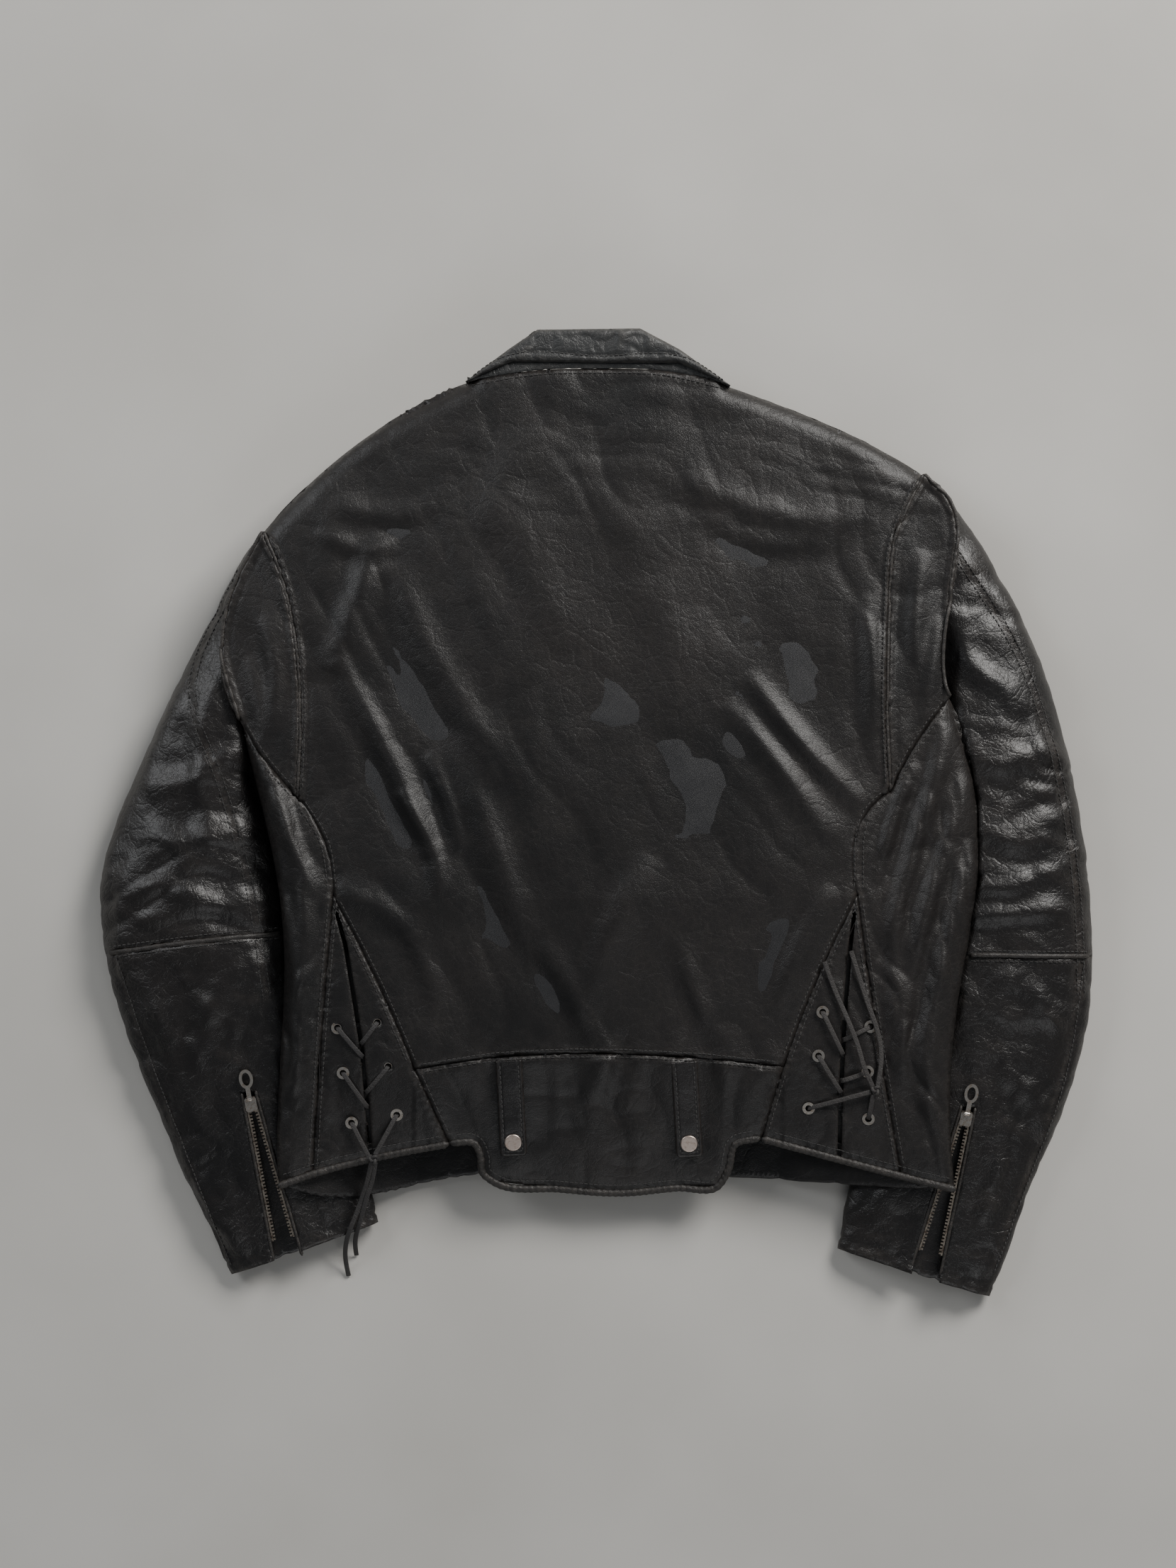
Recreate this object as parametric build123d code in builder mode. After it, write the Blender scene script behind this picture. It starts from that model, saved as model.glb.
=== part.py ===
"""Short black leather jacket with laced waist, zipped cuffs and a snapped pair of belt loops.

It lies face down and flat: +Z is up, the back of the jacket faces up, +Y points to the collar and
-X is the wearer's left. The origin is under the middle of its box, on the surface that it lies on.
Every outline is drawn in plan, in millimetres at the pattern's own size, and scaled to the driving
width and length. Left and right are the wearer's.
"""
import math
import os

from build123d import *

os.makedirs("parts", exist_ok=True)

# ---------------------------------------------------------------- driving dimensions, in millimetres
OVERALL_WIDTH = 754.0  # over both sleeves as they lie
OVERALL_LENGTH = 733.0  # collar roll to the lower cuff
PATTERN_WIDTH = 754.0  # the size that the outlines are drawn at
PATTERN_LENGTH = 733.0
LEATHER = 2.0  # shell leather with its backing
LINING = 0.8
LIFT = 5.0  # the front panels stand this far off the surface, on the lapels
SEAM_GAP = 0.5  # running clearance where a sleeve meets the body
JOINT_GAP = 0.4  # and between other pieces that move
FACE_GAP = 0.05  # between pieces that lie on each other
SEAT_GAP = 0.15  # round metal fittings that sit on or pass through curved leather
BODY_HALF = 300.0  # half width at which the body's edge heights are given
RAMP_KNEE = 236.0  # the front's ramp over a sleeve is at its full height from here out
RAMP_RISE = 2.0  # and rises this much more to the body's half width
CEILING = 120.0  # taller than everything

EYELET_BORE = 2.5  # radii
EYELET_WALL = 0.4
EYELET_BARREL = EYELET_BORE + EYELET_WALL
EYELET_LIP = 1.8
EYELET_FLANGE = EYELET_BARREL + EYELET_LIP
EYELET_RIM = 0.6  # thickness of a flange
LACE_RADIUS = 1.0
LACE_OVER = 2.0  # centre of a lace over the leather's outer face, and under it
LACE_UNDER = -4.4
SLIT_WIDTH = 3.2
GUSSET_DROP = 7.4  # the gusset's floor is this far under the outer face
GUSSET_WALL = 1.2
KNOT_RADIUS = 3.6

STRAP_WIDTH = 20.0
STRAP_LENGTH = 75.0
STRAP_THICK = 2.2
STRAP_END_LIFT = 2.4  # the belt loop's snapped end is this far off the waistband
SNAP_FROM_END = 11.0
SNAP_RADIUS = 6.5
SNAP_HEIGHT = 2.0
SOCKET_RADIUS = 4.6
STUD_RADIUS = 2.0
STUD_SHANK = 1.4

COLLAR_LEAF = 3.6  # two layers of leather
HANGER_WIDTH = 7.0
HANGER_DROP = 8.0

TOOTH_WIDTH = 3.0
TOOTH_LENGTH = 1.3
TOOTH_THICK = 2.4
TOOTH_PITCH = 2.6
TOOTH_SPINE = 1.2
TAPE_THICK = 0.8
TAPE_WIDTH = 4.5
SLIDER_LENGTH = 11.0
SLIDER_WIDTH = 8.8
SLIDER_PLATE = 1.0
SLIDER_WEB = 0.8
SLIDER_WEB_LENGTH = 4.0
PIN_RADIUS = 0.6
PIN_CLEAR = 0.2
LUG_THICK = 0.9
LUG_LENGTH = 2.6
PULL_LENGTH = 23.0
PULL_WIDTH = 10.5
PULL_NECK = 3.4
PULL_THICK = 1.5
PULL_DROOP = 4.0  # degrees
CUFF_ZIP_LENGTH = 112.0

def at(x, y):
    """A pattern point at the jacket's own size."""
    return (x * OVERALL_WIDTH / PATTERN_WIDTH, y * OVERALL_LENGTH / PATTERN_LENGTH)


def run(*points):
    return [at(*p) for p in points]


# ------------------------------------------------------------------------- seams and edges, in plan
SHOULDER = {
    "left": run((-100, 326), (-174, 286), (-216, 252), (-252, 214)),
    "right": run((99, 323), (153, 303), (212, 276), (244, 257)),
}
NECK = run((99, 323), (50, 334), (0, 336), (-51, 334), (-100, 326))
PLEAT = {
    "left": run((-252, 214), (-238, 180), (-230, 148), (-224, 91), (-226, 14)),
    "right": run((244, 257), (221, 203), (218, 161), (216, 90), (219, 19)),
}
ARMHOLE = {
    "left": run((-252, 214), (-273, 175), (-284, 128), (-270, 72)),
    "right": run((244, 257), (264, 237), (264, 161), (264, 89)),
}
SIDE_SEAM_UPPER = {
    "left": run((-270, 72), (-251, 43), (-226, 14)),
    "right": run((264, 89), (238, 54), (219, 19)),
}
SIDE_SEAM_LOWER = {
    "left": run((-226, 14), (-206, -18), (-199, -60)),
    "right": run((219, 19), (204, 6), (194, -60)),
}
LACING_OUTER = {
    "left": run((-199, -60), (-207, -150), (-216, -270)),
    "right": run((194, -60), (207, -150), (228, -271)),
}
LACING_INNER = {
    "left": run((-199, -60), (-166, -125), (-138, -190)),
    "right": run((194, -60), (165, -120), (139, -188)),
}
LACING_FOOT = {
    "left": run((-138, -190), (-113, -247)),
    "right": run((139, -188), (123, -243)),
}
GUSSET = {
    "left": run((-199, -74), (-210, -170), (-213, -256), (-120, -238), (-141, -192), (-183, -104)),
    "right": run((195, -74), (213, -160), (226, -256), (128, -238), (143, -190), (180, -104)),
}
SLIT = {
    "left": run((-197, -70), (-190, -96), (-184, -133), (-177.5, -176), (-174, -219), (-170, -300)),
    "right": run((192, -70), (189, -96), (185, -144), (183, -187), (182, -219), (181, -300)),
}
WAIST = run((-138, -190), (-77, -181), (3, -178), (83, -182), (139, -188))
TAIL = [
    run((-113, -247), (-93, -248)),
    run((-93, -248), (-89, -258), (-88, -270), (-80, -277)),
    run((-80, -277), (-30, -283), (19, -286), (60, -282), (90, -281)),
    run((90, -281), (98, -268), (103, -248)),
    run((103, -248), (123, -243)),
]
SIDE_EDGE = {
    "left": run((-270, 72), (-252, 0), (-238, -80), (-238, -150), (-242, -220), (-242, -279)),
    "right": run((264, 89), (284, 20), (287, -30), (274, -120), (266, -190), (269, -281)),
}
SIDE_HEM = {
    "left": run((-216, -270), (-242, -279)),
    "right": run((228, -271), (269, -281)),
}
FRONT_HEM = run((-242, -279), (-190, -290), (-110, -276), (0, -272), (100, -276), (269, -281))

# the sleeve's cross lines from its inner fold to its outer fold, and its height at each
SLEEVE = {
    "left": [
        (at(-273, 68), at(-257, 212), 41),
        (at(-263, 32), at(-293, 152), 43),
        (at(-250, -8), at(-340, 58), 44),
        (at(-237, -58), at(-378, -45), 43),
        (at(-228, -104), at(-375, -108), 41),
        (at(-202, -182), at(-350, -190), 34),
        (at(-182, -245), at(-317, -268), 27.5),
        (at(-168, -310), at(-280, -350), 21),
    ],
    "right": [
        (at(256, 84), at(262, 240), 41),
        (at(262, 46), at(305, 180), 43),
        (at(258, -5), at(346, 88), 44),
        (at(248, -56), at(369, -20), 43),
        (at(232, -104), at(376, -106), 41),
        (at(210, -190), at(362, -198), 34),
        (at(196, -256), at(326, -292), 27.5),
        (at(182, -330), at(299, -367), 21),
    ],
}
ELBOW = {
    "left": run((-150, -84), (-286, -93), (-400, -108)),
    "right": run((150, -104), (300, -105), (400, -107)),
}
BACK_ARM_SEAM = {
    "left": run((-270, 190), (-307, 92), (-286, 30), (-262, -60), (-250, -140)),
    "right": run((262, 210), (319, 118), (348, 30), (362, -60), (366, -140)),
}
# a cuff zip's rows: closed end and cuff end of the outer row, then the inner row's cuff end
CUFF_ZIP = {
    "left": (at(-266, -213), at(-246, -324), at(-232, -320)),
    "right": (at(281, -224), at(257, -345), at(242, -341)),
}
SLEEVE_PIVOT = {"left": at(-252, 214), "right": at(244, 257)}

ROLL = run((99, 323), (61, 350), (31, 366), (-46, 365), (-68, 350), (-100, 326))
LEAF_EDGE = run((-100, 326), (-65, 341), (0, 340), (60, 340), (99, 323))
FRONT_ZIP = run((-62, 205), (-22, -262))  # its closed end at the lapels and its foot at the hem
NECKLINE = {
    "left": run((-100, 326), (-96, 262), (-62, 205)),
    "right": run((99, 323), (60, 262), (-62, 205)),
}
LAPEL = {
    "left": run((-100, 316), (-98, 262), (-68, 205), (-150, 236), (-166, 272), (-112, 282)),
    "right": run((99, 313), (62, 260), (-52, 205), (118, 212), (150, 262), (112, 280)),
}

EYELETS = {
    "left": [at(-196, -159), at(-192, -193), at(-186, -231), at(-166, -155), at(-158, -188), at(-152, -225)],
    "right": [at(204, -158), at(202, -192), at(203, -228), at(168, -147), at(165, -180), at(158, -220)],
}

# body stations along +Y: top at the middle, top at the edge, start of the ramp, height of the ramp
STATIONS = [
    (-305, 14, 46, 135, 27),
    (-185, 46, 44, 145, 29),
    (-62, 57, 43, 150, 25),
    (60, 58, 43, 150, 25),
    (120, 57, 42, 150, 4),
    (220, 53, 40, 150, 3),
    (374, 44, 36, 150, 3),
]


# ------------------------------------------------------------------------------------ plain helpers
def mix(low, high, share):
    return low + (high - low) * share


def back(points):
    return list(reversed(points))


def station_at(y):
    """The body's height at its middle and at its edge, in line between two stations."""
    pattern_y = y * PATTERN_LENGTH / OVERALL_LENGTH
    for low, high in zip(STATIONS, STATIONS[1:]):
        if pattern_y <= high[0]:
            break
    share = (pattern_y - low[0]) / (high[0] - low[0])
    return mix(low[1], high[1], share), mix(low[2], high[2], share)


def back_height(x, y):
    """Height of the back's outer face over the surface."""
    middle, edge = station_at(y)
    half = at(BODY_HALF, 0)[0]
    return LIFT + edge + (middle - edge) * (1 - (x / half) ** 2)


def on_back(x, y, lift=0.0, toward=(1, 0)):
    """A plane on the back's outer face, with its own +X along a direction in plan."""
    step = 0.5
    across = Vector(2 * step, 0, back_height(x + step, y) - back_height(x - step, y))
    along = Vector(0, 2 * step, back_height(x, y + step) - back_height(x, y - step))
    normal = across.cross(along).normalized()
    origin = Vector(x, y, back_height(x, y)) + normal * lift
    return Plane(origin=origin, x_dir=across * toward[0] + along * toward[1], z_dir=normal)


def local(plane, x, y, z):
    """A point given in a plane's own directions."""
    return plane.origin + plane.x_dir * x + plane.y_dir * y + plane.z_dir * z


def shifted(plane, x, y=0.0):
    """The same plane with its origin moved within it."""
    return Plane(origin=local(plane, x, y, 0), x_dir=plane.x_dir, z_dir=plane.z_dir)


def curve(points):
    """A straight line through two points, or a smooth curve through more."""
    if len(points) == 2:
        Line(*points)
    else:
        Spline(*points)


def column(*runs, grow=0.0, low=-5.0, high=CEILING):
    """An upright prism over a closed outline made of runs that meet end to end."""
    with BuildPart() as made:
        with BuildSketch(Plane.XY.offset(low)):
            with BuildLine():
                for points in runs:
                    curve(points)
            make_face()
            if grow:
                offset(amount=grow, kind=Kind.INTERSECTION)
        extrude(amount=high - low)
    return made.part


def polygon(*points, grow=0.0, low=-5.0, high=CEILING):
    """An upright prism over a closed outline of straight edges."""
    edges = [[a, b] for a, b in zip(points, points[1:] + points[:1])]
    return column(*edges, grow=grow, low=low, high=high)


def write(made, name):
    made.part.label = name
    export_step(made.part, f"parts/{name}.step")


# ------------------------------------------------------------------------------- the body's shells
def crown_profile(middle, edge, depth):
    """The back's arch, depth under its outer face."""
    half = at(BODY_HALF, 0)[0]
    return [(-half, LIFT + edge - depth), (0, LIFT + middle - depth), (half, LIFT + edge - depth)]


def tray_profile(start, height, rise):
    """The front, rise over its outer face: level, then up over the sleeves."""
    points = [(BODY_HALF, height + RAMP_RISE), (RAMP_KNEE, height), (start, 0.0)]
    right = [(at(x, 0)[0], LIFT + z + rise) for x, z in points]
    return [(-x, z) for x, z in right] + back(right)


def body_loft(top_profile, bottom_profile):
    """A solid through the body's stations; each profile is made from a station's sizes."""
    with BuildPart() as made:
        for y, middle, edge, start, height in STATIONS:
            top = top_profile(middle, edge, start, height)
            bottom = bottom_profile(middle, edge, start, height)
            with BuildSketch(Plane(origin=(0, at(0, y)[1], 0), x_dir=(1, 0, 0), z_dir=(0, -1, 0))):
                with BuildLine():
                    for profile in (top, bottom):
                        if len(profile) == 3:
                            ThreePointArc(*profile)
                        else:
                            Polyline(*profile)
                    Line(top[0], bottom[0])
                    Line(top[-1], bottom[-1])
                make_face()
        loft(ruled=True)
    return made.part


def arch(depth):
    return lambda middle, edge, start, height: crown_profile(middle, edge, depth)


def tray(rise):
    return lambda middle, edge, start, height: tray_profile(start, height, rise)


OUTLINE = [
    SHOULDER["left"],
    ARMHOLE["left"],
    SIDE_EDGE["left"],
    FRONT_HEM,
    back(SIDE_EDGE["right"]),
    back(ARMHOLE["right"]),
    back(SHOULDER["right"]),
    [NECK[0], NECK[-1]],
]
BACK_SKIN = body_loft(arch(0), arch(LEATHER))
UNDER_BACK = body_loft(arch(LEATHER + FACE_GAP), tray(0))
CAVITY = body_loft(arch(LEATHER), tray(LEATHER))
ENVELOPE = body_loft(arch(-4.0), tray(-JOINT_GAP))


def skin_panel(*runs):
    """A panel of the back: what its outline cuts from the back's skin."""
    return BACK_SKIN & column(*runs)


# ---------------------------------------------------------------------------------- the back's panels
with BuildPart() as back_panel:
    add(
        skin_panel(
            SHOULDER["left"],
            PLEAT["left"],
            SIDE_SEAM_LOWER["left"],
            LACING_INNER["left"],
            WAIST,
            back(LACING_INNER["right"]),
            back(SIDE_SEAM_LOWER["right"]),
            back(PLEAT["right"]),
            back(SHOULDER["right"]),
            NECK,
        )
    )
write(back_panel, "back_panel")

STRAP_TOP = {"left": at(-67.5, -183), "right": at(64, -184)}
STRAP_FOOT = {"left": at(-64, -256), "right": at(69, -258)}


def strap_plane(side):
    """The belt loop's underside: hinged at the waist seam, a little off the waistband at its end."""
    top, foot = STRAP_TOP[side], STRAP_FOOT[side]
    start = on_back(*top, lift=JOINT_GAP)
    end = on_back(*foot, lift=STRAP_END_LIFT)
    forward = (end.origin - start.origin).normalized()
    side_way = start.z_dir.cross(forward)
    return Plane(origin=start.origin, x_dir=forward, z_dir=forward.cross(side_way))


def snap_plane(side):
    """On the waistband under the snap, square to the belt loop."""
    strap = strap_plane(side)
    spot = local(strap, STRAP_LENGTH - SNAP_FROM_END, 0, 0)
    below = on_back(spot.X, spot.Y)
    drop = (spot - below.origin).dot(below.z_dir)
    return Plane(origin=spot - strap.z_dir * drop, x_dir=strap.x_dir, z_dir=strap.z_dir), drop


with BuildPart() as waistband:
    add(
        skin_panel(
            WAIST,
            LACING_FOOT["left"],
            *TAIL,
            back(LACING_FOOT["right"]),
        )
    )
    for side in ("left", "right"):
        with BuildSketch(snap_plane(side)[0]):
            Circle(STUD_SHANK + SEAT_GAP)
        extrude(amount=2 * LEATHER, both=True, mode=Mode.SUBTRACT)
write(waistband, "waistband")

for side in ("left", "right"):
    strap = strap_plane(side)
    seat, drop = snap_plane(side)

    with BuildPart() as belt_loop:
        with BuildSketch(strap):
            with Locations((STRAP_LENGTH / 2, 0)):
                outline = Rectangle(STRAP_LENGTH, STRAP_WIDTH)
            fillet(outline.vertices().sort_by(Axis.Y)[:2], radius=3.0)
            with Locations((STRAP_LENGTH - SNAP_FROM_END, 0)):
                Circle(STUD_RADIUS + JOINT_GAP, mode=Mode.SUBTRACT)
        extrude(amount=STRAP_THICK)
    write(belt_loop, f"belt_loop_{side}")

    cap = Plane(origin=seat.origin + seat.z_dir * drop, x_dir=seat.x_dir, z_dir=seat.z_dir)
    with BuildPart() as snap_cap:
        with BuildSketch(cap.offset(STRAP_THICK)):
            Circle(SNAP_RADIUS)
        extrude(amount=SNAP_HEIGHT)
        fillet(snap_cap.edges().filter_by(GeomType.CIRCLE).sort_by(Axis.Z)[-1], radius=0.9)
        with BuildSketch(cap.offset(-drop + JOINT_GAP)):
            Circle(SOCKET_RADIUS)
            Circle(STUD_RADIUS + JOINT_GAP, mode=Mode.SUBTRACT)
        extrude(amount=drop - JOINT_GAP)
    write(snap_cap, f"snap_cap_{side}")

    with BuildPart() as snap_stud:
        with BuildSketch(seat.offset(-LEATHER - 2 * SEAT_GAP - 0.5)):
            Circle(SOCKET_RADIUS)
        extrude(amount=0.5)
        with BuildSketch(seat.offset(-LEATHER - 2 * SEAT_GAP - 0.2)):
            Circle(STUD_SHANK)
        extrude(amount=LEATHER + 4 * SEAT_GAP + 0.2)
        with BuildSketch(seat.offset(2 * SEAT_GAP)):
            Circle(STUD_RADIUS)
        extrude(amount=drop - JOINT_GAP - SEAT_GAP)
    write(snap_stud, f"snap_stud_{side}")

for side in ("left", "right"):
    with BuildPart() as pleat:
        add(skin_panel(PLEAT[side], back(SIDE_SEAM_UPPER[side]), back(ARMHOLE[side])))
    write(pleat, f"pleat_{side}")

    with BuildPart() as side_panel:
        add(
            skin_panel(
                SIDE_SEAM_UPPER[side],
                SIDE_SEAM_LOWER[side],
                LACING_OUTER[side],
                SIDE_HEM[side],
                back(SIDE_EDGE[side]),
            )
        )
    write(side_panel, f"side_panel_{side}")

# ------------------------------------------------------------------------------------- the lacings
# a lace's way through its eyelets: on top of the leather, or under it, between two turns
LACING_ROUTE = {
    "left": [
        ((-173.2, -256.2), 2.4, (-186, -231)),
        ((-174.9, -208), 0, (-158, -188)),
        ((-177.1, -181), 0, (-196, -159)),
        ((-166, -155), 0, (-178.3, -171)),
        ((-192, -193), 0, (-174, -219)),
        ((-152, -225), 2.4, (-168.6, -254.4)),
    ],
    "right": [
        ((206.2, -208.6), 2.4, (203, -228)),
        ((182.4, -208), 0, (165, -180)),
        ((184, -168), 0, (204, -158)),
        ((168, -147), 0, (183.4, -179)),
        ((202, -192), 0, (182.7, -199)),
        ((158, -220), 2.4, (204.2, -206.5)),
    ],
}
KNOT = {"left": at(-170, -258), "right": at(208, -205)}
KNOT_LIFT = 4.4
TAILS = {
    "left": [
        [(-171.4, -261.5, 37.0), (-174, -274, 33.5), (-179, -289, 27.6), (-184, -303, 25.4),
         (-190, -317, 22.5), (-193, -330, 14.0), (-193, -342, 4.5), (-191, -352, 1.3)],
        [(-168.6, -261.6, 37.0), (-170, -273, 33.0), (-175, -287, 29.5), (-179, -301, 25.5),
         (-183, -314, 20.5), (-186, -326, 11.0), (-185, -336, 1.6)],
    ],
    "right": [
        [(205.5, -202.2, 4.4), (199, -189, 5.4), (195, -174, 5.2), (189, -158, 5.0),
         (182, -142, 2.6), (175, -126, 1.7), (169, -109, 1.5)],
        [(209.5, -201.4, 4.4), (212, -188, 3.4), (212, -173, 2.4), (208, -157, 3.2),
         (201, -139, 2.4), (195, -120, 1.7), (189, -101, 1.5)],
    ],
}


def lift_points(side, points):
    """Points of a tail: the left ones fall to the surface, the right ones lie on the back."""
    if side == "left":
        return [Vector(*at(x, y), z) for x, y, z in points]
    return [on_back(*at(x, y), lift=z).origin for x, y, z in points]


def corner_radii(points):
    """At each corner an arc as large as its two runs allow."""
    radii = []
    for before, here, after in zip(points, points[1:], points[2:]):
        turn = (here - before).get_angle(after - here)
        shorter = min((here - before).length, (after - here).length)
        radii.append(0.45 * shorter / math.tan(math.radians(turn / 2)))
    return radii


def cord(points, radius, name):
    """A round cord along straight runs joined by tangent arcs."""
    radii = corner_radii(points)
    with BuildPart() as made:
        with BuildLine() as path:
            FilletPolyline(*points, radius=radii)
        with BuildSketch(Plane(origin=points[0], z_dir=points[1] - points[0])):
            Circle(radius)
        sweep(path=path.wires()[0])
    length = path.wires()[0].length
    expected = length * math.pi * radius**2
    smallest = min(radii)
    print(f"{name}: length {length:.1f}, least radius {smallest:.2f}, "
          f"volume {made.part.volume:.1f} of {expected:.1f}")
    write(made, name)


def lacing_points(side):
    """Turn points of a lace: over the leather from each start to each end, then down and under."""
    points = []
    strands = LACING_ROUTE[side]
    for number, (start, extra, end) in enumerate(strands):
        start_lift = LACE_OVER + (extra if number == 0 else 0)
        end_lift = LACE_OVER + (extra if number == len(strands) - 1 else 0)
        if number:
            points.append(on_back(*at(*start), lift=LACE_UNDER).origin)
        points.append(on_back(*at(*start), lift=start_lift).origin)
        points.append(on_back(*at(*end), lift=end_lift).origin)
        if number < len(strands) - 1:
            points.append(on_back(*at(*end), lift=LACE_UNDER).origin)
    return points


for side in ("left", "right"):
    slit_line = SLIT[side]
    slit = polygon(
        *[(x - SLIT_WIDTH / 2, y) for x, y in slit_line],
        *[(x + SLIT_WIDTH / 2, y) for x, y in back(slit_line)],
    )
    whole = [LACING_OUTER[side], [LACING_OUTER[side][-1], LACING_FOOT[side][-1]],
             back(LACING_FOOT[side]), back(LACING_INNER[side])]
    far = at(400 if side == "right" else -400, 0)[0]
    outer_half = polygon(
        (slit_line[0][0], 0), *slit_line, (far, slit_line[-1][1]), (far, 0),
    )
    holes = []
    for x, y in EYELETS[side]:
        with BuildPart() as hole:
            with BuildSketch(on_back(x, y)):
                Circle(EYELET_BARREL + SEAT_GAP)
            extrude(amount=3 * LEATHER, both=True)
        holes.append(hole.part)
    laced = skin_panel(*whole) - slit
    for hole in holes:
        laced = laced - hole

    with BuildPart() as lacing_outer:
        add(laced & outer_half)
    write(lacing_outer, f"lacing_outer_{side}")

    with BuildPart() as lacing_inner:
        add(laced - outer_half)
    write(lacing_inner, f"lacing_inner_{side}")

    with BuildPart() as gusset:
        add(body_loft(arch(LEATHER + FACE_GAP), arch(GUSSET_DROP)) & polygon(*GUSSET[side]))
        add(
            body_loft(arch(0), arch(GUSSET_DROP - GUSSET_WALL))
            & polygon(*GUSSET[side], grow=-GUSSET_WALL),
            mode=Mode.SUBTRACT,
        )
    write(gusset, f"lacing_gusset_{side}")

    with BuildPart() as eyelets:
        for x, y in EYELETS[side]:
            seat = on_back(x, y)
            for low, high, radius in (
                (-LEATHER - EYELET_RIM - SEAT_GAP, -LEATHER - SEAT_GAP, EYELET_FLANGE - 0.5),
                (-LEATHER - EYELET_RIM - SEAT_GAP, EYELET_RIM + SEAT_GAP, EYELET_BARREL),
                (SEAT_GAP, EYELET_RIM + SEAT_GAP, EYELET_FLANGE),
            ):
                with BuildSketch(seat.offset(low)):
                    Circle(radius)
                extrude(amount=high - low)
        for x, y in EYELETS[side]:
            with BuildSketch(on_back(x, y)):
                Circle(EYELET_BORE)
            extrude(amount=3 * LEATHER, both=True, mode=Mode.SUBTRACT)
    write(eyelets, f"eyelets_{side}")

    cord(lacing_points(side), LACE_RADIUS, f"lace_{side}")

    seat = on_back(*KNOT[side], lift=KNOT_LIFT)
    with BuildPart() as knot:
        with BuildSketch(Plane(origin=seat.origin, x_dir=seat.x_dir, z_dir=seat.y_dir)) as half:
            with BuildLine():
                ThreePointArc((0, KNOT_RADIUS), (KNOT_RADIUS, 0), (0, -KNOT_RADIUS))
                Line((0, -KNOT_RADIUS), (0, KNOT_RADIUS))
            make_face()
        revolve(axis=Axis(seat.origin, seat.z_dir))
    write(knot, f"lace_knot_{side}")

    for name, tail in zip(("a", "b"), TAILS[side]):
        cord(lift_points(side, tail), LACE_RADIUS, f"lace_tail_{side}_{name}")

# -------------------------------------------------------------------- collar, fronts and the inside
with BuildPart() as collar_stand:
    add(BACK_SKIN & column(*[[a, b] for a, b in zip(ROLL, ROLL[1:])], back(NECK)))
    for tip, top, way in ((ROLL[-1], ROLL[-2], 1), (ROLL[0], ROLL[1], -1)):
        wall = polygon(tip, top, (top[0] + way * LEATHER, top[1]), (tip[0] + way * LEATHER, tip[1]),
                       low=LIFT + LEATHER + FACE_GAP)
        add(wall & UNDER_BACK)
write(collar_stand, "collar_stand")

with BuildPart() as collar_leaf:
    add(body_loft(arch(-JOINT_GAP - COLLAR_LEAF), arch(-JOINT_GAP)) & polygon(*ROLL, *LEAF_EDGE[1:-1]))
write(collar_leaf, "collar_leaf")

# the fronts keep the body's walls; they are open at the neck, the hem and the armholes
INSIDE = [
    (SHOULDER["left"][0][0] + LEATHER, 500),
    *[(x + 0.6 * LEATHER, y - 1.2 * LEATHER) for x, y in SHOULDER["left"]],
    at(-340, 214),
    at(-340, 78),
    *[(x + LEATHER, y) for x, y in SIDE_EDGE["left"]],
    at(-240, -400),
    at(267, -400),
    *[(x - LEATHER, y) for x, y in back(SIDE_EDGE["right"])],
    at(340, 95),
    at(340, 250),
    *[(x - 0.6 * LEATHER, y - 1.2 * LEATHER) for x, y in back(SHOULDER["right"])],
    (SHOULDER["right"][0][0] - LEATHER, 500),
]
ZIP_TOP, ZIP_FOOT = Vector(*FRONT_ZIP[0]), Vector(*FRONT_ZIP[1])
ZIP_WAY = (ZIP_FOOT - ZIP_TOP).normalized()
ZIP_LENGTH = (ZIP_FOOT - ZIP_TOP).length
ZIP_SIDE = Vector(-ZIP_WAY.Y, ZIP_WAY.X)  # to the wearer's right
ROW_OFFSET = SLIDER_WEB / 2 + JOINT_GAP  # a row's inner face from the middle of its zip
TAPE_EDGE = ROW_OFFSET + TOOTH_WIDTH + TAPE_WIDTH
SLIDER_GAP = TOOTH_THICK + 2 * JOINT_GAP


def along_zip(x, y):
    """A point in plan from the closed end of the front zip."""
    spot = ZIP_TOP + ZIP_WAY * x + ZIP_SIDE * y
    return (spot.X, spot.Y)


FRONT_SHELL = (UNDER_BACK & column(*OUTLINE)) - (CAVITY & polygon(*INSIDE))
NECK_HOLE = polygon(
    *NECKLINE["left"], *back(NECKLINE["right"])[1:], (at(99, 0)[0], 500), (at(-100, 0)[0], 500),
    high=LIFT + LEATHER + 30,
)
for side, way in (("left", -1), ("right", 1)):
    half = polygon(
        along_zip(-400, way * TAPE_EDGE),
        along_zip(ZIP_LENGTH + 100, way * TAPE_EDGE),
        along_zip(ZIP_LENGTH + 100, way * 500),
        along_zip(-400, way * 500),
    )
    with BuildPart() as front:
        add((FRONT_SHELL - NECK_HOLE) & half)
    write(front, f"front_{side}")

    with BuildPart() as lapel:
        add(polygon(*LAPEL[side], low=0, high=LIFT - FACE_GAP))
    write(lapel, f"lapel_{side}")

with BuildPart() as lining:
    add(
        body_loft(arch(LEATHER + FACE_GAP), arch(LEATHER + FACE_GAP + LINING))
        & polygon(
            *run((-98, 318), (-172, 276), (-236, 222), (-222, 150), (-216, 20), (-192, -52),
                 (-136, -176), (136, -174), (186, -52), (210, 20), (208, 160), (228, 255),
                 (150, 296), (97, 316))
        )
    )
write(lining, "lining_back")

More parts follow.
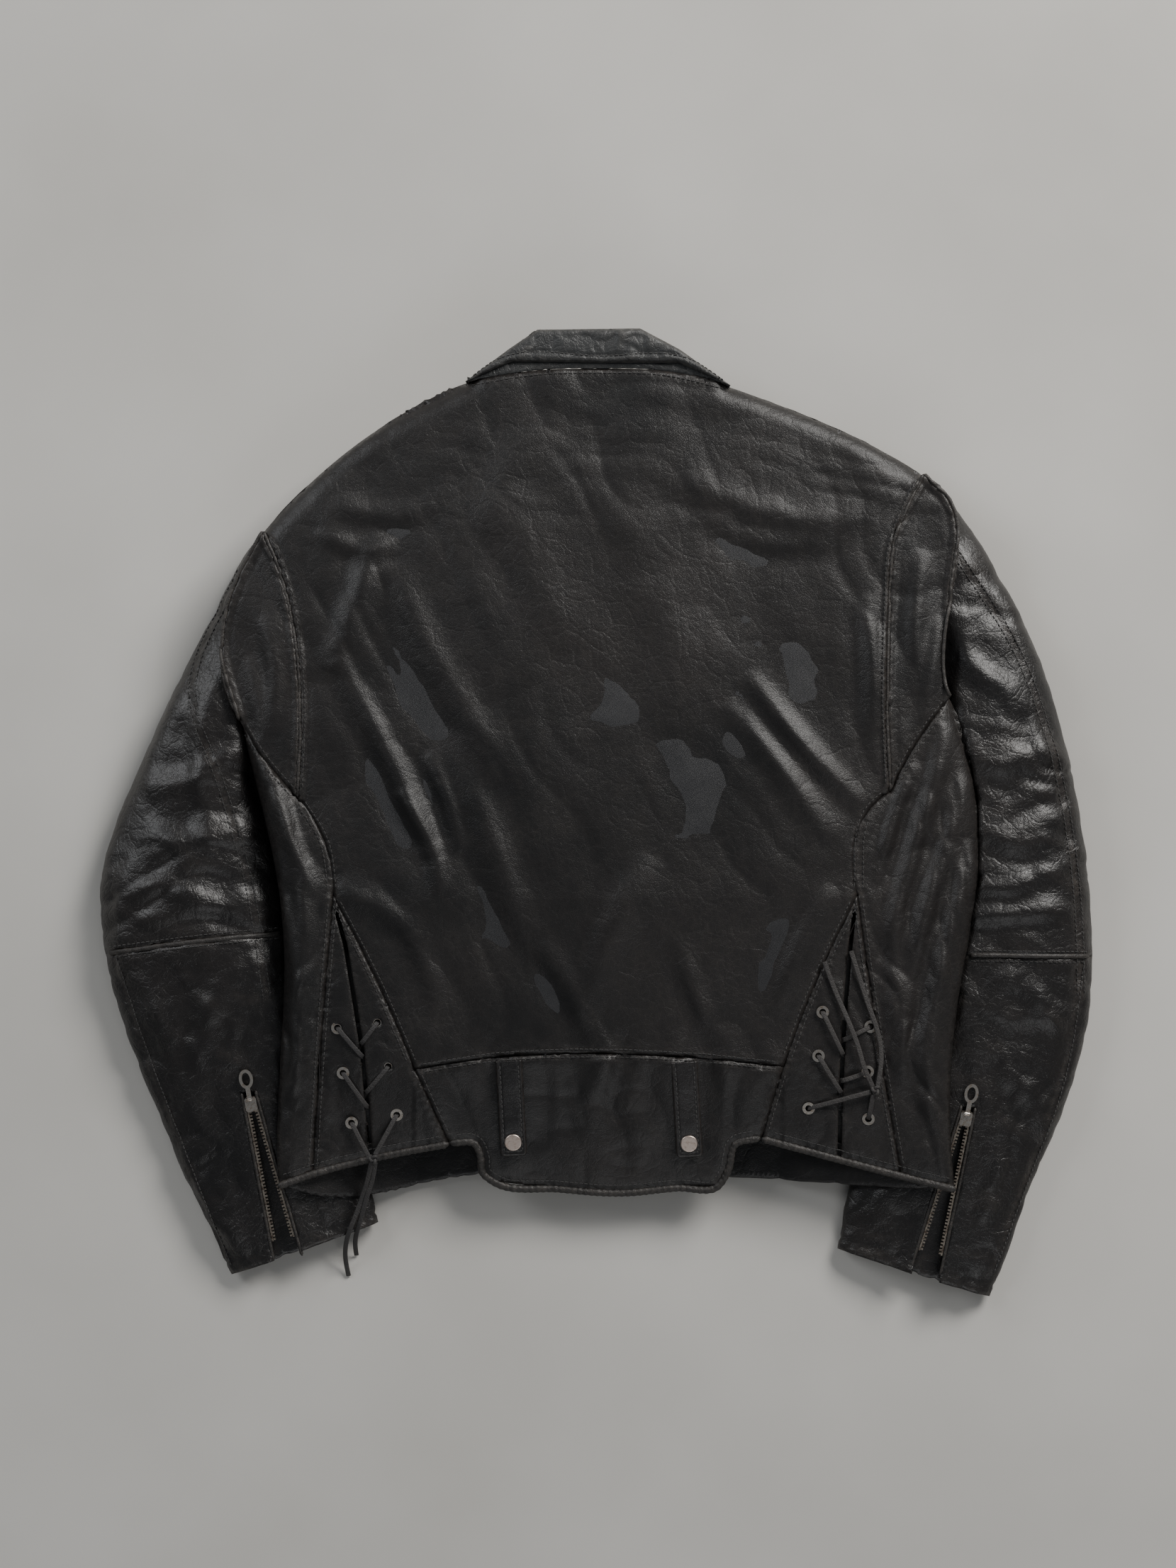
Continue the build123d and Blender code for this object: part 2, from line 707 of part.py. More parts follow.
HANGER_HALF = 28.0
hang = on_back(*at(0, 309), lift=-LEATHER - LINING - 5 * FACE_GAP)
with BuildPart() as hanger:
    with BuildSketch(Plane(origin=hang.origin, x_dir=hang.x_dir, z_dir=-hang.y_dir)):
        with BuildLine():
            outer = ThreePointArc((-HANGER_HALF, 0), (0, -HANGER_DROP - 1.2), (HANGER_HALF, 0))
            Line((HANGER_HALF, 0), (HANGER_HALF - 5, 0))
            inner = ThreePointArc((HANGER_HALF - 5, 0), (0, -HANGER_DROP), (5 - HANGER_HALF, 0))
            Line((5 - HANGER_HALF, 0), (-HANGER_HALF, 0))
        make_face()
    extrude(amount=HANGER_WIDTH / 2, both=True)
write(hanger, "hanger_loop")


# ---------------------------------------------------------------------------------------- the zips
# a zip lies in a plane: its origin midway between the rows at the closed end, +X to the open end
def tooth_row(plane, way, length, splay=0.0):
    """A row of teeth on one side (way is 1 or -1), turned by splay degrees about its closed end."""
    row = Plane(
        origin=local(plane, 0, way * ROW_OFFSET, -TOOTH_THICK / 2),
        x_dir=plane.x_dir * math.cos(math.radians(splay)) + plane.y_dir * math.sin(math.radians(splay)),
        z_dir=plane.z_dir,
    )
    count = int(length / TOOTH_PITCH)
    spine = (way * (TOOTH_WIDTH - TOOTH_SPINE / 2))
    with BuildPart() as made:
        with BuildSketch(row):
            with Locations((length / 2, spine)):
                Rectangle(length, TOOTH_SPINE)
            with Locations(*[((n + 0.5) * TOOTH_PITCH, way * TOOTH_WIDTH / 2) for n in range(count)]):
                Rectangle(TOOTH_LENGTH, TOOTH_WIDTH)
        extrude(amount=TOOTH_THICK)
    return made.part


def tape(plane, way, length, splay=0.0):
    """The cloth strip that a row is clamped on, outside the row."""
    row = Plane(
        origin=local(plane, 0, way * ROW_OFFSET, -TAPE_THICK / 2),
        x_dir=plane.x_dir * math.cos(math.radians(splay)) + plane.y_dir * math.sin(math.radians(splay)),
        z_dir=plane.z_dir,
    )
    with BuildPart() as made:
        with BuildSketch(row):
            with Locations((length / 2, way * (TOOTH_WIDTH + TAPE_WIDTH / 2))):
                Rectangle(length, TAPE_WIDTH)
        extrude(amount=TAPE_THICK)
    return made.part


def slider(plane, name):
    """Two plates over and under the rows, the web between them, and lugs with the pull's pin."""
    plate_low = SLIDER_GAP / 2
    plate_top = plate_low + SLIDER_PLATE
    pin_height = plate_top + PULL_THICK / 2 + 2 * JOINT_GAP
    pin_x = LUG_LENGTH / 2
    lug_inner = PULL_NECK / 2 + JOINT_GAP
    with BuildPart() as made:
        for low in (-plate_top, plate_low):
            with BuildSketch(plane.offset(low)):
                with Locations((SLIDER_LENGTH / 2, 0)):
                    RectangleRounded(SLIDER_LENGTH, SLIDER_WIDTH, 2.0)
            extrude(amount=SLIDER_PLATE)
        with BuildSketch(plane.offset(-plate_low)):
            with Locations((SLIDER_WEB_LENGTH / 2 + 0.5, 0)):
                Rectangle(SLIDER_WEB_LENGTH, SLIDER_WEB)
        extrude(amount=SLIDER_GAP)
        for way in (-1, 1):
            with BuildSketch(plane.offset(plate_top)):
                with Locations((pin_x, way * (lug_inner + LUG_THICK / 2))):
                    Rectangle(LUG_LENGTH, LUG_THICK)
            extrude(amount=pin_height - plate_top + PIN_RADIUS + 0.5)
        across = Plane(
            origin=local(plane, pin_x, -lug_inner - LUG_THICK / 2, pin_height),
            x_dir=plane.x_dir, z_dir=plane.y_dir,
        )
        with BuildSketch(across):
            Circle(PIN_RADIUS)
        extrude(amount=2 * lug_inner + LUG_THICK)
    write(made, name)
    return local(plane, pin_x, 0, pin_height)


def pull(plane, pin, droop, name):
    """A tongue with an oval eye, hung on the pin, lying away from the open end."""
    tilt = math.radians(droop)
    forward = plane.x_dir * -math.cos(tilt) - plane.z_dir * math.sin(tilt)
    flat = Plane(origin=pin, x_dir=forward, z_dir=plane.y_dir.cross(forward) * -1)
    flat = flat.offset(-PULL_THICK / 2)
    ring_x = PULL_LENGTH - PULL_WIDTH * 0.7
    knuckle = PULL_THICK / 2
    with BuildPart() as made:
        with BuildSketch(flat):
            with Locations(((ring_x - 2 - knuckle) / 2 - 0, 0)):
                Rectangle(ring_x - 2 + knuckle, PULL_NECK)
            with Locations((ring_x, 0)):
                Ellipse(PULL_WIDTH * 0.7, PULL_WIDTH / 2)
                Ellipse(PULL_WIDTH * 0.7 - 2.4, PULL_WIDTH / 2 - 2.2, mode=Mode.SUBTRACT)
        extrude(amount=PULL_THICK)
        barrel = Plane(origin=pin - plane.y_dir * (PULL_NECK / 2), x_dir=forward, z_dir=plane.y_dir)
        with BuildSketch(barrel):
            Circle(PIN_RADIUS + PIN_CLEAR + 0.6)
        extrude(amount=PULL_NECK)
        with BuildSketch(barrel):
            Circle(PIN_RADIUS + PIN_CLEAR)
        extrude(amount=PULL_NECK, mode=Mode.SUBTRACT)
    write(made, name)


def say(label, point, direction=None):
    """Print a joint's place, and its direction, for the record."""
    text = f"{label}: at {point.X:.2f} {point.Y:.2f} {point.Z:.2f}"
    if direction is not None:
        text += f" along {direction.X:.5f} {direction.Y:.5f} {direction.Z:.5f}"
    print(text)


FRONT_PLANE = Plane(
    origin=(ZIP_TOP.X, ZIP_TOP.Y, LIFT + LEATHER / 2),
    x_dir=(ZIP_WAY.X, ZIP_WAY.Y, 0),
    z_dir=(0, 0, -1),
)
with BuildPart() as front_teeth:
    for way in (-1, 1):
        add(tooth_row(FRONT_PLANE, way, ZIP_LENGTH))
write(front_teeth, "front_zip_teeth")

with BuildPart() as front_tape:
    for way in (-1, 1):
        add(tape(FRONT_PLANE, way, ZIP_LENGTH))
write(front_tape, "front_zip_tape")

front_pin = slider(shifted(FRONT_PLANE, 4.0), "front_zip_slider")
say("front_zip_slider slides", FRONT_PLANE.origin, FRONT_PLANE.x_dir)
say("front_zip_pull turns", front_pin, FRONT_PLANE.y_dir)
pull(FRONT_PLANE, front_pin, 0.0, "front_zip_pull")


# --------------------------------------------------------------------------------------- the sleeves
RIM = [
    (0.84, 0), (0.93, 0.05), (0.98, 0.17), (1, 0.36), (0.97, 0.56), (0.89, 0.75), (0.78, 0.89),
    (0.64, 0.97), (0.5, 1), (0.36, 0.97), (0.22, 0.89), (0.11, 0.75), (0.03, 0.56), (0, 0.36),
    (0.02, 0.17), (0.07, 0.05), (0.16, 0),
]
SEAM_HALF = 0.15  # half the joint of the seam along the underside


def rim_points(width, tall, inset):
    """A sleeve's cross section, inset from its outer face, from one side of its seam to the other."""
    wide, high = width - 2 * inset, tall - 2 * inset
    points = [(inset + x * wide, inset + z * high) for x, z in RIM]
    return [(width / 2 + SEAM_HALF, inset), *points, (width / 2 - SEAM_HALF, inset)]


def sleeve_skin(side, outer_inset, inner_inset):
    """The sleeve's tube between two insets, level underneath and closed along the seam there."""
    with BuildPart() as made:
        for inner_fold, outer_fold, height in SLEEVE[side]:
            start, end = Vector(*inner_fold), Vector(*outer_fold)
            forward = (end - start).normalized()
            width = (end - start).length
            plane = Plane(origin=start, x_dir=forward, z_dir=forward.cross(Vector(0, 0, 1)))
            outline = rim_points(width, height, outer_inset) + back(
                rim_points(width, height, inner_inset)
            )
            with BuildSketch(plane):
                with BuildLine():
                    Polyline(*outline, close=True)
                make_face()
        loft(ruled=True)
    return made.part


def top_of(solid, x, y):
    """The highest point of a solid over a place in plan."""
    hits = solid.find_intersection_points(Axis((x, y, -50), (0, 0, 1)))
    return max(point.Z for point, _ in hits)


with BuildPart() as body_hole:
    add(ENVELOPE)
    add(column(*OUTLINE), mode=Mode.INTERSECT)
for side, way in (("left", -1), ("right", 1)):
    full = sleeve_skin(side, 0, LEATHER)
    with BuildPart() as tube:
        add(full)
        add(body_hole.part.moved(Location((way * SEAM_GAP, 0, 0))), mode=Mode.SUBTRACT)
    shell = tube.part

    closed, cuff_outer, cuff_inner = (Vector(*p) for p in CUFF_ZIP[side])
    height = top_of(full, closed.X, closed.Y)
    low = top_of(full, cuff_outer.X, cuff_outer.Y)
    start = Vector(closed.X, closed.Y, height - 0.4)
    end = Vector(cuff_outer.X, cuff_outer.Y, low - 0.4)
    forward = (end - start).normalized()
    level = Vector(0, 0, 1).cross(forward).normalized()
    row_plane = Plane(origin=start, x_dir=forward, z_dir=forward.cross(level))
    # the outer row's line is the slider's way; the zip's middle lies half a row inside it
    middle = ROW_OFFSET + TOOTH_WIDTH / 2
    # +Y of the plane is to the wearer's right
    outer_way = 1 if side == "right" else -1
    zip_plane = shifted(row_plane, 0, -outer_way * middle)
    spread = (cuff_inner - cuff_outer).length - 2 * middle
    splay = math.degrees(math.atan(spread / CUFF_ZIP_LENGTH))
    reach = CUFF_ZIP_LENGTH + 60
    lean = math.tan(math.radians(splay))
    slot_points = [
        local(zip_plane, -3, outer_way * TAPE_EDGE, 0),
        local(zip_plane, reach, outer_way * TAPE_EDGE, 0),
        local(zip_plane, reach, -outer_way * (TAPE_EDGE + reach * lean), 0),
        local(zip_plane, -3, -outer_way * TAPE_EDGE, 0),
    ]
    slot_points = [(v.X, v.Y) for v in slot_points]
    slot = polygon(*slot_points, low=9.0)

    far = at(way * 600, 0)[0]
    elbow = ELBOW[side]
    lower = column(elbow, [elbow[-1], (elbow[-1][0], -600)], [(elbow[-1][0], -600), (elbow[0][0], -600)],
                   [(elbow[0][0], -600), elbow[0]])
    arm_seam = BACK_ARM_SEAM[side]
    outer_arm = column(arm_seam, [arm_seam[-1], (far, arm_seam[-1][1])],
                       [(far, arm_seam[-1][1]), (far, arm_seam[0][1] + 80)],
                       [(far, arm_seam[0][1] + 80), arm_seam[0]])
    upper = shell - lower
    with BuildPart() as sleeve_top:
        add(upper & outer_arm)
    write(sleeve_top, f"sleeve_top_{side}")

    with BuildPart() as sleeve_back:
        add(upper - outer_arm)
    write(sleeve_back, f"sleeve_back_{side}")

    with BuildPart() as forearm:
        add((shell & lower) - slot)
    write(forearm, f"forearm_{side}")

    trough = 6.4
    outside = sleeve_skin(side, LEATHER + FACE_GAP, trough + GUSSET_WALL)
    inside = sleeve_skin(side, 0, trough)
    with BuildPart() as cuff_gusset:
        add(outside & polygon(*slot_points, grow=4.0, low=9.0))
        add(inside & polygon(*slot_points, grow=2.5, low=9.0), mode=Mode.SUBTRACT)
    write(cuff_gusset, f"cuff_gusset_{side}")

    with BuildPart() as cuff_teeth:
        add(tooth_row(zip_plane, outer_way, CUFF_ZIP_LENGTH))
        add(tooth_row(zip_plane, -outer_way, CUFF_ZIP_LENGTH, -outer_way * splay))
    write(cuff_teeth, f"cuff_zip_teeth_{side}")

    with BuildPart() as cuff_tape:
        add(tape(zip_plane, outer_way, CUFF_ZIP_LENGTH))
        add(tape(zip_plane, -outer_way, CUFF_ZIP_LENGTH, -outer_way * splay))
    write(cuff_tape, f"cuff_zip_tape_{side}")

    pin = slider(zip_plane, f"cuff_zip_slider_{side}")
    pull(zip_plane, pin, PULL_DROOP, f"cuff_zip_pull_{side}")
    say(f"cuff_zip_slider_{side} slides", zip_plane.origin, zip_plane.x_dir)
    say(f"cuff_zip_pull_{side} turns", pin, zip_plane.y_dir)
    say(f"belt_loop_{side} turns", strap_plane(side).origin, strap_plane(side).y_dir)
    print(f"sleeve_{side} turns: at {SLEEVE_PIVOT[side]}")

roll_y = at(0, 366)[1]
say("collar_leaf turns", Vector(0, roll_y, back_height(0, roll_y) + JOINT_GAP))
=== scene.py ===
"""Looks of the laced black leather jacket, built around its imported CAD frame.

The jacket lies face down: +Z up, +Y to the collar, -X the wearer's left. Plan numbers are in
millimetres, as the part's source draws them, and every Blender mesh is made in metres.
"""

import math

import bmesh
import bpy
import numpy as np
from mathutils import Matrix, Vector
from mathutils.bvhtree import BVHTree
from mathutils.geometry import delaunay_2d_cdt


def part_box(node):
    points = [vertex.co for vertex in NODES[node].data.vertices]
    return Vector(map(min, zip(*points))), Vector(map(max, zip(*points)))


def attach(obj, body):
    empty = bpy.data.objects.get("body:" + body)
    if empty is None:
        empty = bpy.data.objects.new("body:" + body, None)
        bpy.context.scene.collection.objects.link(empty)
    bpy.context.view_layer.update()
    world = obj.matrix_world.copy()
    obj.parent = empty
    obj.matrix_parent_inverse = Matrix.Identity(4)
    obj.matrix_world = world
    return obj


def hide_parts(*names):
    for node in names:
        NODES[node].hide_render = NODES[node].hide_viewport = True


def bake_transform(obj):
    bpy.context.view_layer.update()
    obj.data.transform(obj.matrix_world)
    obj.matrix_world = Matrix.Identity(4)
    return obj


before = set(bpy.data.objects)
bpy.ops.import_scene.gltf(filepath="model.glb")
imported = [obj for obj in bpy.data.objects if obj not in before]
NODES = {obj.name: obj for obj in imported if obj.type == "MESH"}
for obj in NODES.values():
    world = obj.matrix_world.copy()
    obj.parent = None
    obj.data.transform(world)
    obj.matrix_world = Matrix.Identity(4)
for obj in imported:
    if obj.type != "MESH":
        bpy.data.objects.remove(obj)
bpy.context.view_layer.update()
MM = 0.001
SIDES = (("left", -1), ("right", 1))

# ------------------------------------------------------------------ the pattern, as in the CAD source
LIFT, BODY_HALF, RAMP_KNEE = 5.0, 300.0, 236.0
# across the body at each y: height in the middle, at the side, and where and how high the front ramps up
STATIONS = np.array([
    (-305, 14, 46, 135, 27), (-185, 46, 44, 145, 29), (-62, 57, 43, 150, 25), (60, 58, 43, 150, 25),
    (120, 57, 42, 150, 4), (220, 53, 40, 150, 3), (374, 44, 36, 150, 3),
], float)
SHOULDER = {
    "left": [(-100, 326), (-174, 286), (-216, 252), (-252, 214)],
    "right": [(99, 323), (153, 303), (212, 276), (244, 257)],
}
NECK = [(99, 323), (50, 334), (0, 336), (-51, 334), (-100, 326)]
PLEAT = {
    "left": [(-252, 214), (-238, 180), (-230, 148), (-224, 91), (-226, 14)],
    "right": [(244, 257), (221, 203), (218, 161), (216, 90), (219, 19)],
}
ARMHOLE = {
    "left": [(-252, 214), (-273, 175), (-284, 128), (-270, 72)],
    "right": [(244, 257), (264, 237), (264, 161), (264, 89)],
}
SIDE_UPPER = {
    "left": [(-270, 72), (-251, 43), (-226, 14)],
    "right": [(264, 89), (238, 54), (219, 19)],
}
SIDE_LOWER = {
    "left": [(-226, 14), (-206, -18), (-199, -60)],
    "right": [(219, 19), (204, 6), (194, -60)],
}
LACING_OUTER = {
    "left": [(-199, -60), (-207, -150), (-216, -270)],
    "right": [(194, -60), (207, -150), (228, -271)],
}
LACING_INNER = {
    "left": [(-199, -60), (-166, -125), (-138, -190)],
    "right": [(194, -60), (165, -120), (139, -188)],
}
LACING_FOOT = {
    "left": [(-138, -190), (-113, -247)],
    "right": [(139, -188), (123, -243)],
}
SLIT = {
    "left": [(-197, -70), (-190, -96), (-184, -133), (-177.5, -176), (-174, -219), (-170, -300)],
    "right": [(192, -70), (189, -96), (185, -144), (183, -187), (182, -219), (181, -300)],
}
WAIST = [(-138, -190), (-77, -181), (3, -178), (83, -182), (139, -188)]
SIDE_EDGE = {
    "left": [(-270, 72), (-252, 0), (-238, -80), (-238, -150), (-242, -220), (-242, -279)],
    "right": [(264, 89), (284, 20), (287, -30), (274, -120), (266, -190), (269, -281)],
}
HEM = {
    "left": [(-242, -279), (-216, -270), (-165, -257), (-113, -247)],
    "right": [(269, -281), (228, -271), (175, -257), (123, -243)],
}
TAIL_HEM = [
    (-113, -247), (-93, -248), (-89, -258), (-88, -270), (-80, -277), (-30, -283), (19, -286),
    (60, -282), (90, -281), (98, -268), (103, -248), (123, -243),
]
LEAF_EDGE = [(-100, 326), (-65, 341), (0, 340), (60, 340), (99, 323)]
# cross lines of a sleeve: inner fold, outer fold, height
SLEEVE = {
    "left": [
        ((-273, 68), (-257, 212), 41), ((-263, 32), (-293, 152), 43), ((-250, -8), (-340, 58), 44),
        ((-237, -58), (-378, -45), 43), ((-228, -104), (-375, -108), 41),
        ((-202, -182), (-350, -190), 34), ((-182, -245), (-317, -268), 27.5),
        ((-168, -310), (-280, -350), 21),
    ],
    "right": [
        ((256, 84), (262, 240), 41), ((262, 46), (305, 180), 43), ((258, -5), (346, 88), 44),
        ((248, -56), (369, -20), 43), ((232, -104), (376, -106), 41),
        ((210, -190), (362, -198), 34), ((196, -256), (326, -292), 27.5),
        ((182, -330), (299, -367), 21),
    ],
}
RIM = [
    (0.84, 0), (0.93, 0.05), (0.98, 0.17), (1, 0.36), (0.97, 0.56), (0.89, 0.75), (0.78, 0.89),
    (0.64, 0.97), (0.5, 1), (0.36, 0.97), (0.22, 0.89), (0.11, 0.75), (0.03, 0.56), (0, 0.36),
    (0.02, 0.17), (0.07, 0.05), (0.16, 0), (0.5, 0),
]
ELBOW = {
    "left": [(-150, -84), (-286, -93), (-400, -108)],
    "right": [(150, -104), (300, -105), (400, -107)],
}
ARM_SEAM = {
    "left": [(-270, 190), (-307, 92), (-286, 30), (-262, -60), (-250, -140)],
    "right": [(262, 210), (319, 118), (348, 30), (362, -60), (366, -140)],
}
FOREARM_SEAM = {
    "left": [(-369, -104), (-342, -187), (-318, -251), (-281, -347)],
    "right": [(366, -106), (352, -196), (320, -288), (297, -350)],
}
CUFF_ZIP = {
    "left": ((-266, -213), (-246, -324), (-232, -320)),
    "right": ((281, -224), (257, -345), (242, -341)),
}
LACE_OVER, LACE_UNDER = 2.0, -4.4
LACING_ROUTE = {
    "left": [
        ((-173.2, -256.2), 2.4, (-186, -231)), ((-174.9, -208), 0, (-158, -188)),
        ((-177.1, -181), 0, (-196, -159)), ((-166, -155), 0, (-178.3, -171)),
        ((-192, -193), 0, (-174, -219)), ((-152, -225), 2.4, (-168.6, -254.4)),
    ],
    "right": [
        ((206.2, -208.6), 2.4, (203, -228)), ((182.4, -208), 0, (165, -180)),
        ((184, -168), 0, (204, -158)), ((168, -147), 0, (183.4, -179)),
        ((202, -192), 0, (182.7, -199)), ((158, -220), 2.4, (204.2, -206.5)),
    ],
}
KNOT = {"left": (-170, -258), "right": (208, -205)}
KNOT_LIFT = 4.4
TAILS = {
    "left": [
        [(-171.4, -261.5, 37.0), (-174, -274, 33.5), (-179, -289, 27.6), (-184, -303, 25.4),
         (-190, -317, 22.5), (-193, -330, 14.0), (-193, -342, 4.5), (-191, -352, 1.3)],
        [(-168.6, -261.6, 37.0), (-170, -273, 33.0), (-175, -287, 29.5), (-179, -301, 25.5),
         (-183, -314, 20.5), (-186, -326, 11.0), (-185, -336, 1.6)],
    ],
    "right": [
        [(205.5, -202.2, 4.4), (199, -189, 5.4), (195, -174, 5.2), (189, -158, 5.0),
         (182, -142, 2.6), (175, -126, 1.7), (169, -109, 1.5)],
        [(209.5, -201.4, 4.4), (212, -188, 3.4), (212, -173, 2.4), (208, -157, 3.2),
         (201, -139, 2.4), (195, -120, 1.7), (189, -101, 1.5)],
    ],
}
TAIL_LENGTH = {"left": (0.102, 0.0861), "right": (0.101, 0.1047)}
STRAP_TOP = {"left": (-67.5, -183), "right": (64, -184)}
STRAP_FOOT = {"left": (-64, -256), "right": (69, -258)}
STRAP_LENGTH, STRAP_WIDTH, STRAP_THICK = 75.0, 20.0, 2.2


# ----------------------------------------------------------------------------------- plain geometry
def back_height(x, y):
    """Height of the back's outer face, in millimetres; x and y may be arrays."""
    middle = np.interp(y, STATIONS[:, 0], STATIONS[:, 1])
    edge = np.interp(y, STATIONS[:, 0], STATIONS[:, 2])
    return LIFT + edge + (middle - edge) * (1 - (np.asarray(x) / BODY_HALF) ** 2)


def tray_height(x, y):
    """Height of the front's underside as it lies, which ramps up over a sleeve."""
    start = np.interp(y, STATIONS[:, 0], STATIONS[:, 3])
    height = np.interp(y, STATIONS[:, 0], STATIONS[:, 4])
    return LIFT + height * np.clip((np.abs(x) - start) / (RAMP_KNEE - start), 0, 1)


def on_back(x, y, lift=0.0):
    """A point off the back's outer face, along its normal."""
    step = 0.5
    across = Vector((2 * step, 0, back_height(x + step, y) - back_height(x - step, y)))
    along = Vector((0, 2 * step, back_height(x, y + step) - back_height(x, y - step)))
    normal = across.cross(along).normalized()
    return Vector((x, y, float(back_height(x, y)))) + normal * lift, normal


def hermite(known, values, wanted):
    """A smooth curve through values at known places."""
    known, values = np.asarray(known, float), np.asarray(values, float)
    slopes = np.gradient(values, known, axis=0)
    i = np.clip(np.searchsorted(known, wanted) - 1, 0, len(known) - 2)
    gap = known[i + 1] - known[i]
    t = (wanted - known[i]) / gap
    shape = (-1,) + (1,) * (values.ndim - 1)
    t, gap = t.reshape(shape), gap.reshape(shape)
    return (
        values[i] * (1 + 2 * t) * (1 - t) ** 2 + slopes[i] * gap * t * (1 - t) ** 2
        + values[i + 1] * t**2 * (3 - 2 * t) + slopes[i + 1] * gap * t**2 * (t - 1)
    )


def smooth_line(points, step=2.0):
    """A smooth line through points, about step apart."""
    p = np.asarray(points, float)
    along = np.concatenate([[0], np.cumsum(np.linalg.norm(np.diff(p, axis=0), axis=1))])
    count = max(2, int(along[-1] / step) + 1)
    wanted = np.linspace(0, along[-1], count)
    if len(p) < 3:
        return np.stack([np.interp(wanted, along, p[:, i]) for i in range(p.shape[1])], axis=1)
    return hermite(along, p, wanted)


def nearest(xy, line):
    """For points in plan: distance to a line, signed side, and how far along it, in millimetres."""
    a, b = line[:-1], line[1:]
    d = b - a
    size = np.maximum((d**2).sum(1), 1e-9)
    start = np.concatenate([[0], np.cumsum(np.sqrt(size))])[:-1]
    far, side, along = (np.empty(len(xy)) for _ in range(3))
    for low in range(0, len(xy), 4000):
        q = xy[low:low + 4000, None, :] - a[None]
        t = np.clip((q * d[None]).sum(2) / size[None], 0, 1)
        gap = q - t[..., None] * d[None]
        gap2 = (gap**2).sum(2)
        k = gap2.argmin(1)
        rows = np.arange(len(k))
        far[low:low + 4000] = np.sqrt(gap2[rows, k])
        side[low:low + 4000] = np.sign(d[k, 0] * q[rows, k, 1] - d[k, 1] * q[rows, k, 0])
        along[low:low + 4000] = start[k] + t[rows, k] * np.sqrt(size[k])
    return far, side, along


def inside(xy, loop):
    """Which points in plan are inside a closed outline."""
    x, y = xy[:, 0], xy[:, 1]
    found = np.zeros(len(xy), bool)
    for (ax, ay), (bx, by) in zip(loop, np.roll(loop, -1, axis=0)):
        if ay == by:
            continue
        crossing = ((ay > y) != (by > y)) & (x < (bx - ax) * (y - ay) / (by - ay) + ax)
        found ^= crossing
    return found


def step_up(low, high, value):
    """A smooth step from 0 to 1 as the value goes from low to high."""
    t = np.clip((value - low) / (high - low), 0, 1)
    return t * t * (3 - 2 * t)


# ------------------------------------------------------------------------------------ seeded noise
def lattice(cell, seed):
    """A repeatable value from -1 to 1 for each whole-numbered cell, by integer hashing."""
    h = cell[:, 0] * 374761393 + cell[:, 1] * 668265263 + cell[:, 2] * 2147483647 + seed * 974711
    h &= 0xFFFFFFFF
    h = ((h ^ (h >> 13)) * 1274126177) & 0xFFFFFFFF
    h = ((h ^ (h >> 15)) * 2246822519) & 0xFFFFFFFF
    return ((h ^ (h >> 16)) & 0xFFFFFF) / 0xFFFFFF * 2 - 1


def noise(points, size, seed=0):
    """Smooth noise from -1 to 1 with features of about that size, or sizes."""
    p = np.asarray(points, float) / np.asarray(size, float) + 1000.0
    if p.shape[1] == 2:
        p = np.column_stack([p, np.full(len(p), 7.3)])
    cell = np.floor(p).astype(np.int64)
    t = p - cell
    t = t**3 * (t * (t * 6 - 15) + 10)
    total = np.zeros(len(p))
    for dx in (0, 1):
        for dy in (0, 1):
            for dz in (0, 1):
                weight = (
                    (t[:, 0] if dx else 1 - t[:, 0]) * (t[:, 1] if dy else 1 - t[:, 1])
                    * (t[:, 2] if dz else 1 - t[:, 2])
                )
                total += weight * lattice(cell + np.array((dx, dy, dz)), seed)
    return total


def creases(points, size, seed=0):
    """Soft pillows with sharper valleys between them, about 0 to 1."""
    warped = np.asarray(points, float) + 0.35 * np.mean(size) * np.column_stack(
        [noise(points, np.mean(size) * 1.3, seed + 50 + i) for i in range(np.shape(points)[1])]
    )
    return np.abs(noise(warped, size, seed)) ** 0.8


def pillows(xy, height, size, seed, turn=0.0, mean=0.35):
    """Creases of that height in plan, turned by that many degrees, and about zero on average."""
    return height * (creases(turned(xy, turn), size, seed) - mean)


def rounded(gap, radius):
    """How far a rounded edge falls, as a share of its radius, at that gap from the outline."""
    return 1 - np.sqrt(np.clip(1 - np.clip(1 - gap / radius, 0, 1) ** 2, 0, 1))


def bell(value, width):
    return np.exp(-((value / width) ** 2))


def turned(xy, degrees):
    """Plan points in axes turned by that many degrees."""
    c, s = math.cos(math.radians(degrees)), math.sin(math.radians(degrees))
    return np.column_stack([xy[:, 0] * c + xy[:, 1] * s, -xy[:, 0] * s + xy[:, 1] * c])


def fold(xy, points, height, width):
    """A ridge (or, with a negative height, a crease) along a line, fading out at both ends."""
    line = smooth_line(points, 6.0)
    long = np.linalg.norm(np.diff(line, axis=0), axis=1).sum()
    far, side, along = nearest(xy, line)
    ends = np.clip(np.sin(np.pi * np.clip(along / long, 0.0, 1.0)), 0, 1) ** 0.6
    over = np.exp(-((far / width) ** 2))
    shift = np.exp(-(((far * side + 1.5 * width) / (1.1 * width)) ** 2))
    return height * ends * (over - 0.35 * shift)


